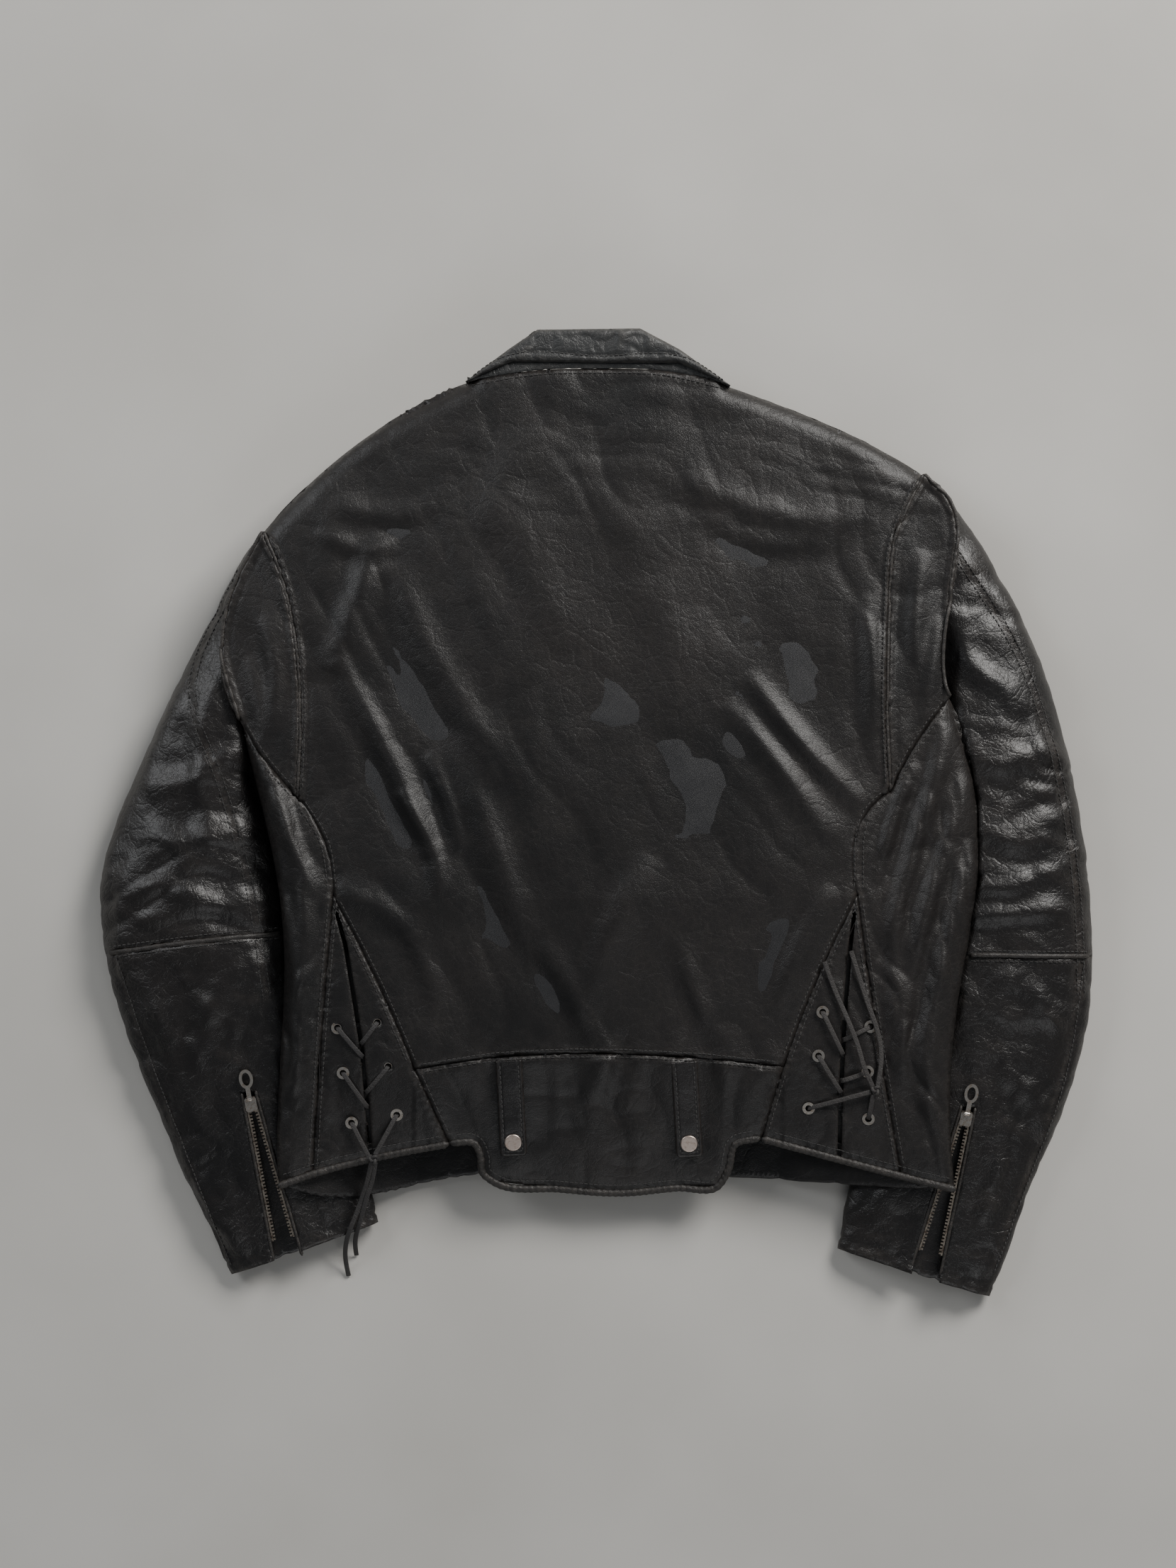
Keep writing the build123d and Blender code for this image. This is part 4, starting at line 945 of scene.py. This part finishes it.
# ----------------------------------------------------------------------------- the back's leather
for side, way in SIDES:
    body_panel(f"pleat_fold_{side}", f"pleat_{side}",
               [f"armhole_{side}", f"pleat_{side}", f"side_upper_{side}"], seed=2)
    body_panel(f"side_leather_{side}", f"side_panel_{side}",
               [f"side_upper_{side}", f"side_lower_{side}", f"lacing_outer_{side}", f"side_edge_{side}",
                f"hem_{side}"], step=2.4, seed=3)
    for half, seam in (("outer", "lacing_outer"), ("inner", "lacing_inner")):
        labels = [f"{seam}_{side}", f"slit_{side}", f"hem_{side}"]
        if half == "inner":
            labels.append(f"lacing_foot_{side}")
        body_panel(f"laced_leather_{half}_{side}", f"lacing_{half}_{side}", labels, step=1.9, seed=4)
body_panel(
    "back_leather", "back_panel",
    ["neck", "waist", "shoulder_left", "shoulder_right", "pleat_left", "pleat_right", "side_lower_left",
     "side_lower_right", "lacing_inner_left", "lacing_inner_right"],
    above=["waist"], seed=5,
)
body_panel(
    "waistband_leather", "waistband", ["waist", "lacing_foot_left", "lacing_foot_right", "tail_hem"],
    step=2.2, seed=6,
)
BACK = Surface(*SURFACES.values())

# sewing: rows of stitches, the rolled seam edges, and the piped hem
rows = []
for side, way in SIDES:
    for line, offsets in (
        (smooth_line(SIDE_LOWER[side]), (3.2, -3.2)), (smooth_line(LACING_INNER[side]), (3.2, -3.2)),
        (smooth_line(LACING_OUTER[side]), (3.2, -3.2)), (smooth_line(LACING_FOOT[side]), (3.2,)),
        (smooth_line(PLEAT[side]), (way * -3.6,)), (smooth_line(SIDE_UPPER[side]), (3.0, -3.0)),
        (smooth_line(HEM[side]), (way * -6.5,)),
    ):
        for distance in offsets:
            rows.append(stitch_row(BACK, offset_line(line, distance)[3:-3]))
for distance in (3.0, -3.0):
    rows.append(stitch_row(BACK, offset_line(smooth_line(WAIST), distance)[3:-3]))
rows.append(stitch_row(BACK, offset_line(smooth_line(NECK), 3.4)[2:-2]))
rows.append(stitch_row(BACK, offset_line(smooth_line(TAIL_HEM), 6.2)[3:-3]))
points, faces = joined(rows)
mesh_piece("back_stitches", points, faces, THREAD, "jacket")

beads = []
for side, way in SIDES:
    for line in (PLEAT[side], ARMHOLE[side]):
        beads.append(tube(BACK.drop(smooth_line(line), 0.5), 1.35, sides=8, flat=0.8, ribs=0.05, pitch=9.0))
points, faces = joined(beads)
wear = np.full(len(points), 0.45)
mesh_piece("rolled_seam_edges", points, faces, WORN_HIDE, "jacket", wear=wear)



def averaged(path, reach=3):
    """A path with each point moved to the mean of its neighbours, which rounds its corners."""
    window = 2 * reach + 1
    padded = [np.pad(path[:, i], reach, mode="edge") for i in (0, 1)]
    return np.column_stack([np.convolve(p, np.ones(window) / window, "valid") for p in padded])


def piping(path, shift=0.0):
    """A wrinkled bead under the back's edge along a path in plan."""
    height = back_height(path[:, 0], path[:, 1]) + body_relief(path) - 2.4
    return tube(np.column_stack([path + (0, shift), height]), 2.9, sides=12, flat=0.85, ribs=0.07, pitch=4.6)


beads = [piping(smooth_line(HEM[side], 1.0), -0.6) for side, way in SIDES]
beads.append(piping(averaged(smooth_line(TAIL_HEM, 1.0))))
points, faces = joined(beads)
ridge = 0.25 + 0.3 * creases(points, (7, 7, 7), 31)
mesh_piece("hem_piping", points, faces, WORN_HIDE, "jacket", wear=ridge)


# --------------------------------------------------------------------------- the collar's fallen leaf
xy, faces, loops = filled(top_loops("collar_leaf"), 1.7, 8)
outer = np.vstack([loops[0], loops[0][:1]])
far, _, along = nearest(xy, outer)
fall, _, _ = nearest(xy, smooth_line(LEAF_EDGE, 2.0))
z = back_height(xy[:, 0], xy[:, 1]) + 4.6
z += pillows(xy, 2.2, (7.5, 11), 41, turn=12) * step_up(0, 5, far)
z += pillows(xy, 1.2, (15, 9), 42, turn=-35) + 1.2 * noise(xy, (30, 30), 43)
z -= 3.2 * rounded(far, 3.6)
z -= 1.1 * bell(fall - 5.0, 1.1) - 0.5 * bell(fall - 2.6, 1.4)
worn = 0.75 * np.exp(-far / 1.6) + 0.35 * step_up(0.55, 0.95, creases(turned(xy, 12), (7.5, 11), 41))
leaf = mesh_piece("collar_fallen_leaf", np.column_stack([xy, z]), faces, COLLAR_HIDE, "collar_fall",
                  ["collar_leaf"], worn, thick=3.0)
LEAF = Surface((np.column_stack([xy, z]), faces))
points, faces = stitch_row(LEAF, offset_line(smooth_line(LEAF_EDGE), 5.0)[3:-3])
mesh_piece("collar_stitches", points, faces, THREAD, "collar_fall")


# ------------------------------------------------------------------------------------- the sleeves
def sleeve_grid(side, way, step=2.9):
    """A sleeve's tube as a grid of points, with what is needed to cut and to seam it."""
    rows = SLEEVE[side]
    inner, outer = np.array([r[0] for r in rows], float), np.array([r[1] for r in rows], float)
    tall = np.array([r[2] for r in rows], float)
    # a stretch inside the armhole, under the pleat, that stays with the body
    lead = 26.0
    into = np.array([-way * lead, 6.0])
    inner, outer = np.vstack([inner[:1] + into, inner]), np.vstack([outer[:1] + into, outer])
    tall = np.concatenate([[tall[0] * 0.88], tall])
    middle = (inner + outer) / 2
    known = np.concatenate([[0], np.cumsum(np.linalg.norm(np.diff(middle, axis=0), axis=1))])
    count = int(known[-1] / step)
    u = np.linspace(0, known[-1], count)
    inner, outer, tall = (hermite(known, v, u) for v in (inner, outer, tall))
    rim = np.array(RIM, float)
    ring = np.vstack([rim, rim[:1]])
    usual = ring * (130, 40)  # a usual width and height, to space the points round the rim
    long = np.concatenate([[0], np.cumsum(np.linalg.norm(np.diff(usual, axis=0), axis=1))])
    around = int(long[-1] / step)
    v = np.linspace(0, long[-1], around, endpoint=False)
    share = np.clip(hermite(long, ring, v), 0.0, 1.02)
    x = inner[:, None, :] + (outer - inner)[:, None, :] * share[None, :, 0:1]
    z = tall[:, None] * share[None, :, 1]
    base = np.concatenate([x, z[..., None]], axis=2)
    a = np.roll(base, -1, axis=1) - np.roll(base, 1, axis=1)
    b = np.gradient(base, axis=0)
    normal = np.cross(a, b)
    normal /= np.maximum(np.linalg.norm(normal, axis=2)[..., None], 1e-6)
    top = share[:, 1].argmax()
    if normal[:, top, 2].mean() < 0:
        normal = -normal
    return base, normal, share, u


SLEEVE_FOLDS = {
    "left": [
        ([(-262, 60), (-300, 30), (-345, 20)], 4.0, 9), ([(-250, 0), (-290, -20), (-345, -12)], 3.4, 10),
        ([(-268, 130), (-292, 90), (-300, 30), (-290, -30)], 3.0, 9),
        ([(-246, -60), (-285, -66), (-330, -52), (-366, -60)], 3.4, 8),
        ([(-300, 110), (-330, 60), (-350, 0)], 2.6, 9),
        ([(-240, -95), (-290, -80), (-350, -88)], -2.6, 6),
        ([(-270, -110), (-300, -160), (-302, -215)], 2.6, 9),
        ([(-345, -120), (-320, -190), (-300, -250)], 2.6, 9),
        ([(-330, -250), (-290, -300), (-262, -330)], 2.4, 8),
        ([(-355, -30), (-362, -80), (-355, -130)], 2.0, 7),
        ([(-300, -300), (-280, -320), (-262, -345)], 1.8, 6),
    ],
    "right": [
        ([(262, 60), (300, 40), (348, 52)], 3.4, 9), ([(258, 0), (300, -16), (356, -2)], 4.0, 9),
        ([(252, -40), (300, -52), (364, -34)], 3.6, 8), ([(246, -80), (300, -74), (366, -70)], 3.2, 7),
        ([(264, 150), (285, 110), (316, 90)], 3.0, 9), ([(290, 190), (312, 150), (330, 110)], 2.4, 9),
        ([(262, 110), (276, 70), (285, 20)], 3.0, 8),
        ([(262, -120), (300, -150), (345, -150)], 2.4, 9), ([(300, -118), (330, -135), (352, -165)], 2.6, 8),
        ([(300, -190), (330, -215), (340, -250)], 2.4, 8), ([(275, -170), (292, -220), (296, -280)], 2.2, 8),
        ([(318, -230), (300, -280), (282, -330)], 2.4, 7),
        ([(270, -130), (282, -165), (300, -185)], 1.8, 7),
    ],
}


def sleeve_relief(side, base, share):
    """How far a sleeve's skin stands out: folds over its top, fading out to its underside."""
    flat = base.reshape(-1, 3)
    xy = flat[:, :2]
    upper = step_up(0.12, 0.7, np.tile(share[:, 1], len(base)))
    z = np.zeros(len(flat))
    for points, height, width in SLEEVE_FOLDS[side]:
        z += fold(xy, points, height, width)
    lean = turned(xy, 100 if side == "left" else 80)
    above = step_up(-120, -95, xy[:, 1])
    wander = 14 * np.column_stack([noise(xy, 60, 60), noise(xy, 60, 61)])
    z += above * (pillows(lean + wander, 3.4, (24, 66), 51) + pillows(xy, 1.7, (12, 34), 52, turn=70))
    z += (1 - above) * pillows(xy, 3.2, (24, 44), 53, turn=150)
    z += (1 - above) * pillows(xy, 2.0, (11, 17), 54, turn=30)
    z += 1.2 * noise(xy, (55, 55), 55) + pillows(xy, 0.5, (7, 9), 56)
    outer = 1.0 * (creases(flat, (16, 16, 11), 57) - 0.35)
    z = z * upper + outer * (1 - upper) * 0.8
    wear = 0.26 * step_up(0.5, 1.0, creases(turned(xy, 70), (12, 34), 52)) * upper
    on_top = np.tile(share[:, 1], len(base)) > share[:, 1].max() * 0.45
    for line, size in ((ELBOW[side], 1.0), (ARM_SEAM[side], 1.0), (FOREARM_SEAM[side], 0.8)):
        far, sign, along = nearest(xy, smooth_line(line))
        pucker = 0.4 * np.sin(along * 0.8 + 2 * noise(xy, (20, 20), 58)) * bell(far - 3.5, 2.6)
        lap = 0.8 * bell(far, 6.0) * (sign > 0)
        groove = -1.3 * bell(far, 1.3) - 0.4 * bell(far - 3.4, 1.0)
        z += np.where(on_top, size * (groove + lap + pucker), 0)
        wear += np.where(on_top, size * 0.6 * np.exp(-far / 2.2), 0)
    return z, wear


ZIP_EDGE = 5.4  # the leather's edges stand this far from the zip's middle
ZIP_RUN = 112.0  # length of a cuff zip's teeth
ZIP_SHUT = 4.0  # the leather's slot starts this far before the closed end


def zip_frame(side, way):
    """Plan directions of a cuff zip: its middle at the closed end, along, across, and its splay."""
    closed, cuff_outer, cuff_inner = (np.array(p, float) for p in CUFF_ZIP[side])
    along = (cuff_outer - closed) / np.linalg.norm(cuff_outer - closed)
    across = np.array([-along[1], along[0]])
    if across[0] * way < 0:
        across = -across  # towards the sleeve's outer fold
    middle = 0.4 + 0.4 + 1.5
    start = closed - across * middle
    lean = (np.linalg.norm(cuff_inner - cuff_outer) - 2 * middle) / ZIP_RUN
    return start, along, across, lean


for side, way in SIDES:
    base, normal, share, u = sleeve_grid(side, way)
    count, around = base.shape[:2]
    flat, out = base.reshape(-1, 3), normal.reshape(-1, 3)
    relief, wear = sleeve_relief(side, base, share)
    top_row = np.tile(share[:, 1], count)
    start, along, across, lean = zip_frame(side, way)
    q = flat[:, :2] - start
    ahead, beside = q @ along, q @ across
    low_edge, high_edge = -(ZIP_EDGE + np.clip(ahead, 0, None) * lean), np.full(len(flat), ZIP_EDGE)
    on_top = top_row > 0.45
    in_zip = on_top & (ahead > -ZIP_SHUT)
    gap = np.maximum(low_edge - beside, beside - high_edge)
    # the folds fade out beside the zip and round its closed end
    past_end = np.hypot(ahead + ZIP_SHUT, np.maximum(gap, 0))
    calm = np.where(in_zip, np.clip(gap / 12, 0, 1), 1.0)
    calm = np.where(on_top & ~in_zip, np.clip(past_end / 12, 0, 1), calm)
    relief = relief * (0.15 + 0.85 * calm)
    cuff_end = (u[-1] - np.repeat(u, around))
    relief -= bell(cuff_end - 9, 1.3) * (top_row > 0.1)
    wear = wear + 0.6 * np.exp(-cuff_end / 2.5)
    points = flat + out * relief[:, None]
    # the leather's level beside the teeth
    lo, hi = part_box(f"cuff_zip_teeth_{side}")
    deep = (hi.z - lo.z) / MM - 2.4
    level = hi.z / MM - 0.2 - deep * np.clip(ahead, 0, ZIP_RUN) / ZIP_RUN
    near = np.where(in_zip, bell(np.clip(gap, 0, None), 9), 0)
    points[:, 2] = points[:, 2] * (1 - near) + (level + 0.6) * near
    # snap the points beside the slot's edges onto them
    for edge, sign in ((high_edge, 1), (low_edge, -1)):
        close = in_zip & (np.abs(beside - edge) < 1.75)
        points[close, :2] += ((edge - beside)[close, None] * across)
    # under the body, and inside the armhole, keep clear of the front and of the back's skin
    outlines = [smooth_line(edge[side], 4) for edge in (SHOULDER, ARMHOLE, SIDE_EDGE)]
    border = np.vstack([*outlines, [(0, -400), (0, 326)]])
    within = inside(points[:, :2], border)
    x, y = points[:, 0], points[:, 1]
    below = tray_height(x, y) - 1.6
    under_front = within & (y < 74)
    squashed = np.minimum(points[:, 2], np.maximum(below, 2.0))
    points[:, 2] = np.where(under_front, squashed, points[:, 2])
    in_armhole = within & (y >= 74)
    roof, floor = back_height(x, y) - 5.5, tray_height(x, y) + 4.0
    points[:, 2] = np.where(in_armhole, np.clip(points[:, 2], floor, roof), points[:, 2])
    points[:, 2] = np.maximum(points[:, 2], 0.25)
    index = np.arange(count * around).reshape(count, around)
    a, b = index[:-1], index[1:]
    quads = np.stack([a, np.roll(a, -1, 1), np.roll(b, -1, 1), b], axis=2).reshape(-1, 4)
    centre = points[quads].mean(1)
    q = centre[:, :2] - start
    mid_ahead, mid_beside = q @ along, q @ across
    cut = (mid_ahead > -3.5) & (top_row[quads].mean(1) > 0.45)
    cut &= (mid_beside < ZIP_EDGE) & (mid_beside > -(ZIP_EDGE + np.clip(mid_ahead, 0, None) * lean))
    quads, centre = quads[~cut], centre[~cut]
    # which cut piece each face belongs to
    line = smooth_line(ELBOW[side])
    below_elbow = centre[:, 1] < np.interp(centre[:, 0] * way, line[:, 0] * way, line[:, 1])
    a, b, c = (points[quads[:, i]] for i in range(3))
    facing = (np.cross(b - a, c - a) * out[quads[:, 0]]).sum(1)
    if facing.sum() < 0:
        quads = quads[:, ::-1]
    for name, nodes_here, chosen, length in (
        (f"upper_sleeve_{side}", [f"sleeve_top_{side}", f"sleeve_back_{side}"], ~below_elbow, 0.40),
        (f"forearm_leather_{side}", [f"forearm_{side}"], below_elbow, 0.27),
    ):
        used = np.unique(quads[chosen])
        renumber = np.full(len(points), -1)
        renumber[used] = np.arange(len(used))
        made = mesh_piece(name, points[used], renumber[quads[chosen]], SLEEVE_HIDE, None,
                          nodes_here, wear[used], thick=1.7)
        if name.startswith("forearm"):
            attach(made, f"sleeve_{side}")
        else:
            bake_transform(made)
    SURFACES[f"sleeve_{side}"] = (points, [tuple(f) for f in quads])
    arm = Surface(SURFACES[f"sleeve_{side}"])
    arm_outline = np.vstack([base[:, share[:, 0].argmin(), :2], base[::-1, share[:, 0].argmax(), :2]])
    sewing = {
        f"forearm_stitches_{side}": ((ELBOW[side], (3.4, -4.6)), (FOREARM_SEAM[side], (2.8,))),
        f"arm_seam_stitches_{side}": ((ARM_SEAM[side], (2.8, -2.8)),),
    }
    for name, seams in sewing.items():
        rows = []
        for line, offsets in seams:
            for distance in offsets:
                moved = offset_line(smooth_line(line), distance)
                keep = inside(moved, arm_outline) & ~inside(moved, border)
                if keep.sum() > 6:
                    rows.append(stitch_row(arm, moved[keep][2:-2]))
        points_s, faces_s = joined([r for r in rows if len(r[0])])
        if name.startswith("forearm"):
            mesh_piece(name, points_s, faces_s, THREAD, f"sleeve_{side}")
        else:
            made = mesh_piece(name, points_s, faces_s, THREAD, None)
            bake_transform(made)
    path = smooth_line(ELBOW[side])
    path = path[inside(path, arm_outline) & ~inside(path, border)][1:-1]
    points_s, faces_s = tube(arm.drop(path, 0.4), 1.9, sides=8, flat=0.55, ribs=0.08, pitch=8)
    mesh_piece(f"elbow_welt_{side}", points_s, faces_s, WORN_HIDE, f"sleeve_{side}",
               wear=np.full(len(points_s), 0.25))
    lips = []
    for edge_start, edge_lean in ((ZIP_EDGE, 0.0), (-ZIP_EDGE, -lean)):
        s = np.arange(-ZIP_SHUT, ZIP_RUN + 16, 1.5)
        path = start + along * s[:, None] + across * (edge_start + np.clip(s, 0, None) * edge_lean)[:, None]
        level_here = hi.z / MM + 0.3 - deep * np.clip(s, 0, None) / ZIP_RUN
        lips.append(tube(np.column_stack([path, level_here]), 1.25, sides=8, flat=0.9, ribs=0.06, pitch=7))
    points_s, faces_s = joined(lips)
    mesh_piece(f"zip_lips_{side}", points_s, faces_s, WORN_HIDE, f"sleeve_{side}",
               wear=np.full(len(points_s), 0.4))


# ------------------------------------------------- the leather and cloth underneath, from the frame
def refined(name, node, material, body, step=6.0, amount=0.8, size=26.0, smooth=2, trim=None):
    """A soft CAD node's own shape, divided finely, with its edges softened and its faces rumpled."""
    work = bmesh.new()
    work.from_mesh(NODES[node].data)
    bmesh.ops.remove_doubles(work, verts=work.verts, dist=0.00002)
    for _ in range(7):
        long = [e for e in work.edges if e.calc_length() > step * MM]
        if not long:
            break
        bmesh.ops.subdivide_edges(work, edges=long, cuts=1)
        bmesh.ops.triangulate(work, faces=[f for f in work.faces if len(f.verts) > 4])
    bmesh.ops.triangulate(work, faces=work.faces)
    for _ in range(smooth):
        bmesh.ops.smooth_vert(
            work, verts=work.verts, factor=0.35, use_axis_x=True, use_axis_y=True, use_axis_z=True
        )
    work.verts.index_update()
    points = np.array([v.co for v in work.verts]) / MM
    faces = [tuple(v.index for v in f.verts) for f in work.faces]
    work.free()
    shift = amount * np.column_stack([noise(points, size, 71 + i) for i in range(3)])
    shift += 0.35 * amount * np.column_stack([noise(points, size * 0.35, 81 + i) for i in range(3)])
    points = points + shift
    points[:, 2] = np.maximum(points[:, 2], 0.1)
    if trim:
        points = trim(points)
    wear = 0.25 * step_up(0.1, 0.8, noise(points, size * 0.5, 91))
    return mesh_piece(name, points, faces, material, body, [node], wear)


def under_the_roll(points):
    """Keeps a wall's top below the back's rolled edge."""
    x, y = points[:, 0], points[:, 1]
    drop = np.zeros(len(points))
    for side, way in SIDES:
        for name in (f"shoulder_{side}", f"side_edge_{side}"):
            far, _, _ = nearest(points[:, :2], EDGE_KINDS[name][0])
            drop = np.minimum(drop, edge_profile("roll", far, far, False)[0])
    relief = body_relief(points[:, :2])
    roof = back_height(x, y) + drop + np.minimum(relief, 0) - 2.4
    points[:, 2] = np.minimum(points[:, 2], np.maximum(roof, 6.0))
    return points


for side, way in SIDES:
    arm = f"sleeve_{side}"
    refined(f"front_leather_{side}", f"front_{side}", HIDE, "jacket", amount=0.9,
            trim=under_the_roll)
    refined(f"lapel_leather_{side}", f"lapel_{side}", COLLAR_HIDE, "jacket", amount=0.5)
    refined(f"gusset_leather_{side}", f"lacing_gusset_{side}", STRAP_HIDE, "jacket",
            amount=0.5, size=14)
    refined(f"cuff_gusset_leather_{side}", f"cuff_gusset_{side}", STRAP_HIDE, arm,
            amount=0.4, size=14)
    refined(f"zip_tape_cuff_{side}", f"cuff_zip_tape_{side}", TAPE, arm, step=4, amount=0.1,
            smooth=0)
refined("lining_inside_back", "lining_back", SATIN, "jacket", amount=0.6)
refined("hanger_tape", "hanger_loop", SATIN, "jacket", step=2.0, amount=0.15, smooth=1)
refined("collar_stand_leather", "collar_stand", COLLAR_HIDE, "jacket", step=4.0,
        amount=0.3, smooth=1)
refined("zip_tape_front", "front_zip_tape", TAPE, "jacket", step=5, amount=0.05, smooth=0)


# ------------------------------------------------------------------------- belt loops and the snaps
LOOP_ROWS, LOOP_COLUMNS, LOOP_CORNER = 70, 25, 3.0


def strap_axes(side):
    """Start of a belt loop on the back, and its directions: forward, across and up."""
    start, up = on_back(*STRAP_TOP[side], 0.4)
    end, _ = on_back(*STRAP_FOOT[side], 2.4)
    forward = (end - start).normalized()
    across = up.cross(forward).normalized()
    return np.array(start), np.array(forward), np.array(across), np.array(forward.cross(across))


for side, way in SIDES:
    start, forward, across, up = strap_axes(side)
    s, t = np.linspace(0, STRAP_LENGTH, LOOP_ROWS), np.linspace(-1, 1, LOOP_COLUMNS)
    grid_s, grid_t = np.meshgrid(s, t, indexing="ij")
    half = STRAP_WIDTH / 2 - LOOP_CORNER * rounded(STRAP_LENGTH - s, LOOP_CORNER)
    xy = np.column_stack([grid_s.ravel(), (grid_t * half[:, None]).ravel()])
    edge = np.minimum(half.repeat(LOOP_COLUMNS) - np.abs(xy[:, 1]), STRAP_LENGTH - xy[:, 0] + 0.2)
    z = STRAP_THICK + 0.9 - 1.6 * rounded(edge, 2.0) - 0.45 * bell(edge - 3.0, 0.8)
    z += 0.25 * noise(xy, (16, 16), 61) + pillows(xy, 0.2, (6, 9), 62) + 0.2 * np.sin(xy[:, 0] / 9)
    snap = np.hypot(xy[:, 0] - (STRAP_LENGTH - 11), xy[:, 1])
    z -= 0.8 * bell(snap, 8.0)
    points = start + xy[:, :1] * forward + xy[:, 1:] * across + z[:, None] * up
    index = np.arange(LOOP_ROWS * LOOP_COLUMNS).reshape(LOOP_ROWS, LOOP_COLUMNS)
    a, b = index[:-1], index[1:]
    faces = np.stack([a[:, :-1], b[:, :-1], b[:, 1:], a[:, 1:]], axis=2).reshape(-1, 4)
    wear = 0.8 * np.exp(-edge / 1.1)
    made = mesh_piece(f"belt_loop_leather_{side}", points, faces, STRAP_HIDE, f"loop_{side}",
                      [f"belt_loop_{side}"], wear, thick=2.0)
    top = Surface((points, [tuple(f) for f in faces]))
    rows = []
    for where in (-6.9, 6.9):
        line = np.array([start + forward * k + across * where for k in (4, 30, 60, 71)])[:, :2]
        rows.append(stitch_row(top, smooth_line(line)))
    line = np.array([start + forward * 71.5 + across * k for k in (-6.5, 0, 6.5)])[:, :2]
    rows.append(stitch_row(top, smooth_line(line)))
    points, faces = joined(rows)
    mesh_piece(f"belt_loop_stitches_{side}", points, faces, THREAD, f"loop_{side}")

for side, way in SIDES:
    for node, material in (
        (f"eyelets_{side}", NICKEL), (f"snap_cap_{side}", CAP_METAL), (f"snap_stud_{side}", NICKEL),
        (f"cuff_zip_teeth_{side}", ZIP_METAL), (f"cuff_zip_slider_{side}", NICKEL),
        (f"cuff_zip_pull_{side}", NICKEL),
    ):
        NODES[node].material_slots[0].material = material
for node in ("front_zip_teeth", "front_zip_slider", "front_zip_pull"):
    NODES[node].material_slots[0].material = ZIP_METAL
for name, made in NODES.items():
    if not made.hide_render:
        soften = made.modifiers.new("worn edges", "BEVEL")
        soften.width, soften.segments, soften.limit_method, soften.angle_limit = 0.00022, 2, "ANGLE", 0.7


# -------------------------------------------------------------------------------- floor and lights
def stage_floor(wide=6.0):
    mesh = bpy.data.meshes.new("floor")
    corners = [(-wide, -wide, 0), (wide, -wide, 0), (wide, wide, 0), (-wide, wide, 0)]
    mesh.from_pydata(corners, [], [(0, 1, 2, 3)])
    made = bpy.data.objects.new("floor", mesh)
    bpy.context.scene.collection.objects.link(made)
    look = Look("pale_floor")
    cloud = look.cloud(look.object_place(), 3.0, 6.0)
    pale = look.ramp(cloud, [(0.3, (0.50, 0.485, 0.455)), (0.7, (0.60, 0.585, 0.555))])
    look.finish({"Base Color": pale, "Roughness": 0.85})
    mesh.materials.append(look.material)


def area_light(name, place, size, power, colour=(1, 1, 1)):
    data = bpy.data.lights.new(name, "AREA")
    data.shape, data.energy, data.color = "RECTANGLE", power, colour
    data.size, data.size_y = size
    made = bpy.data.objects.new(name, data)
    bpy.context.scene.collection.objects.link(made)
    made.location = place
    made.rotation_euler = (Vector((0, 0, 0)) - Vector(place)).to_track_quat("-Z", "Y").to_euler()


stage_floor()
area_light("key", (1.7, 2.1, 1.75), (1.5, 1.1), 120, (1.0, 0.98, 0.95))
area_light("side", (-2.3, 1.5, 1.6), (1.2, 1.6), 34, (0.96, 0.98, 1.0))
area_light("low", (0.6, -2.6, 1.8), (2.0, 1.2), 16)
world = bpy.data.worlds.new("soft light")
world.use_nodes = True
world.node_tree.nodes["Background"].inputs["Color"].default_value = (0.9, 0.95, 1.0, 1)
world.node_tree.nodes["Background"].inputs["Strength"].default_value = 0.14
bpy.context.scene.world = world
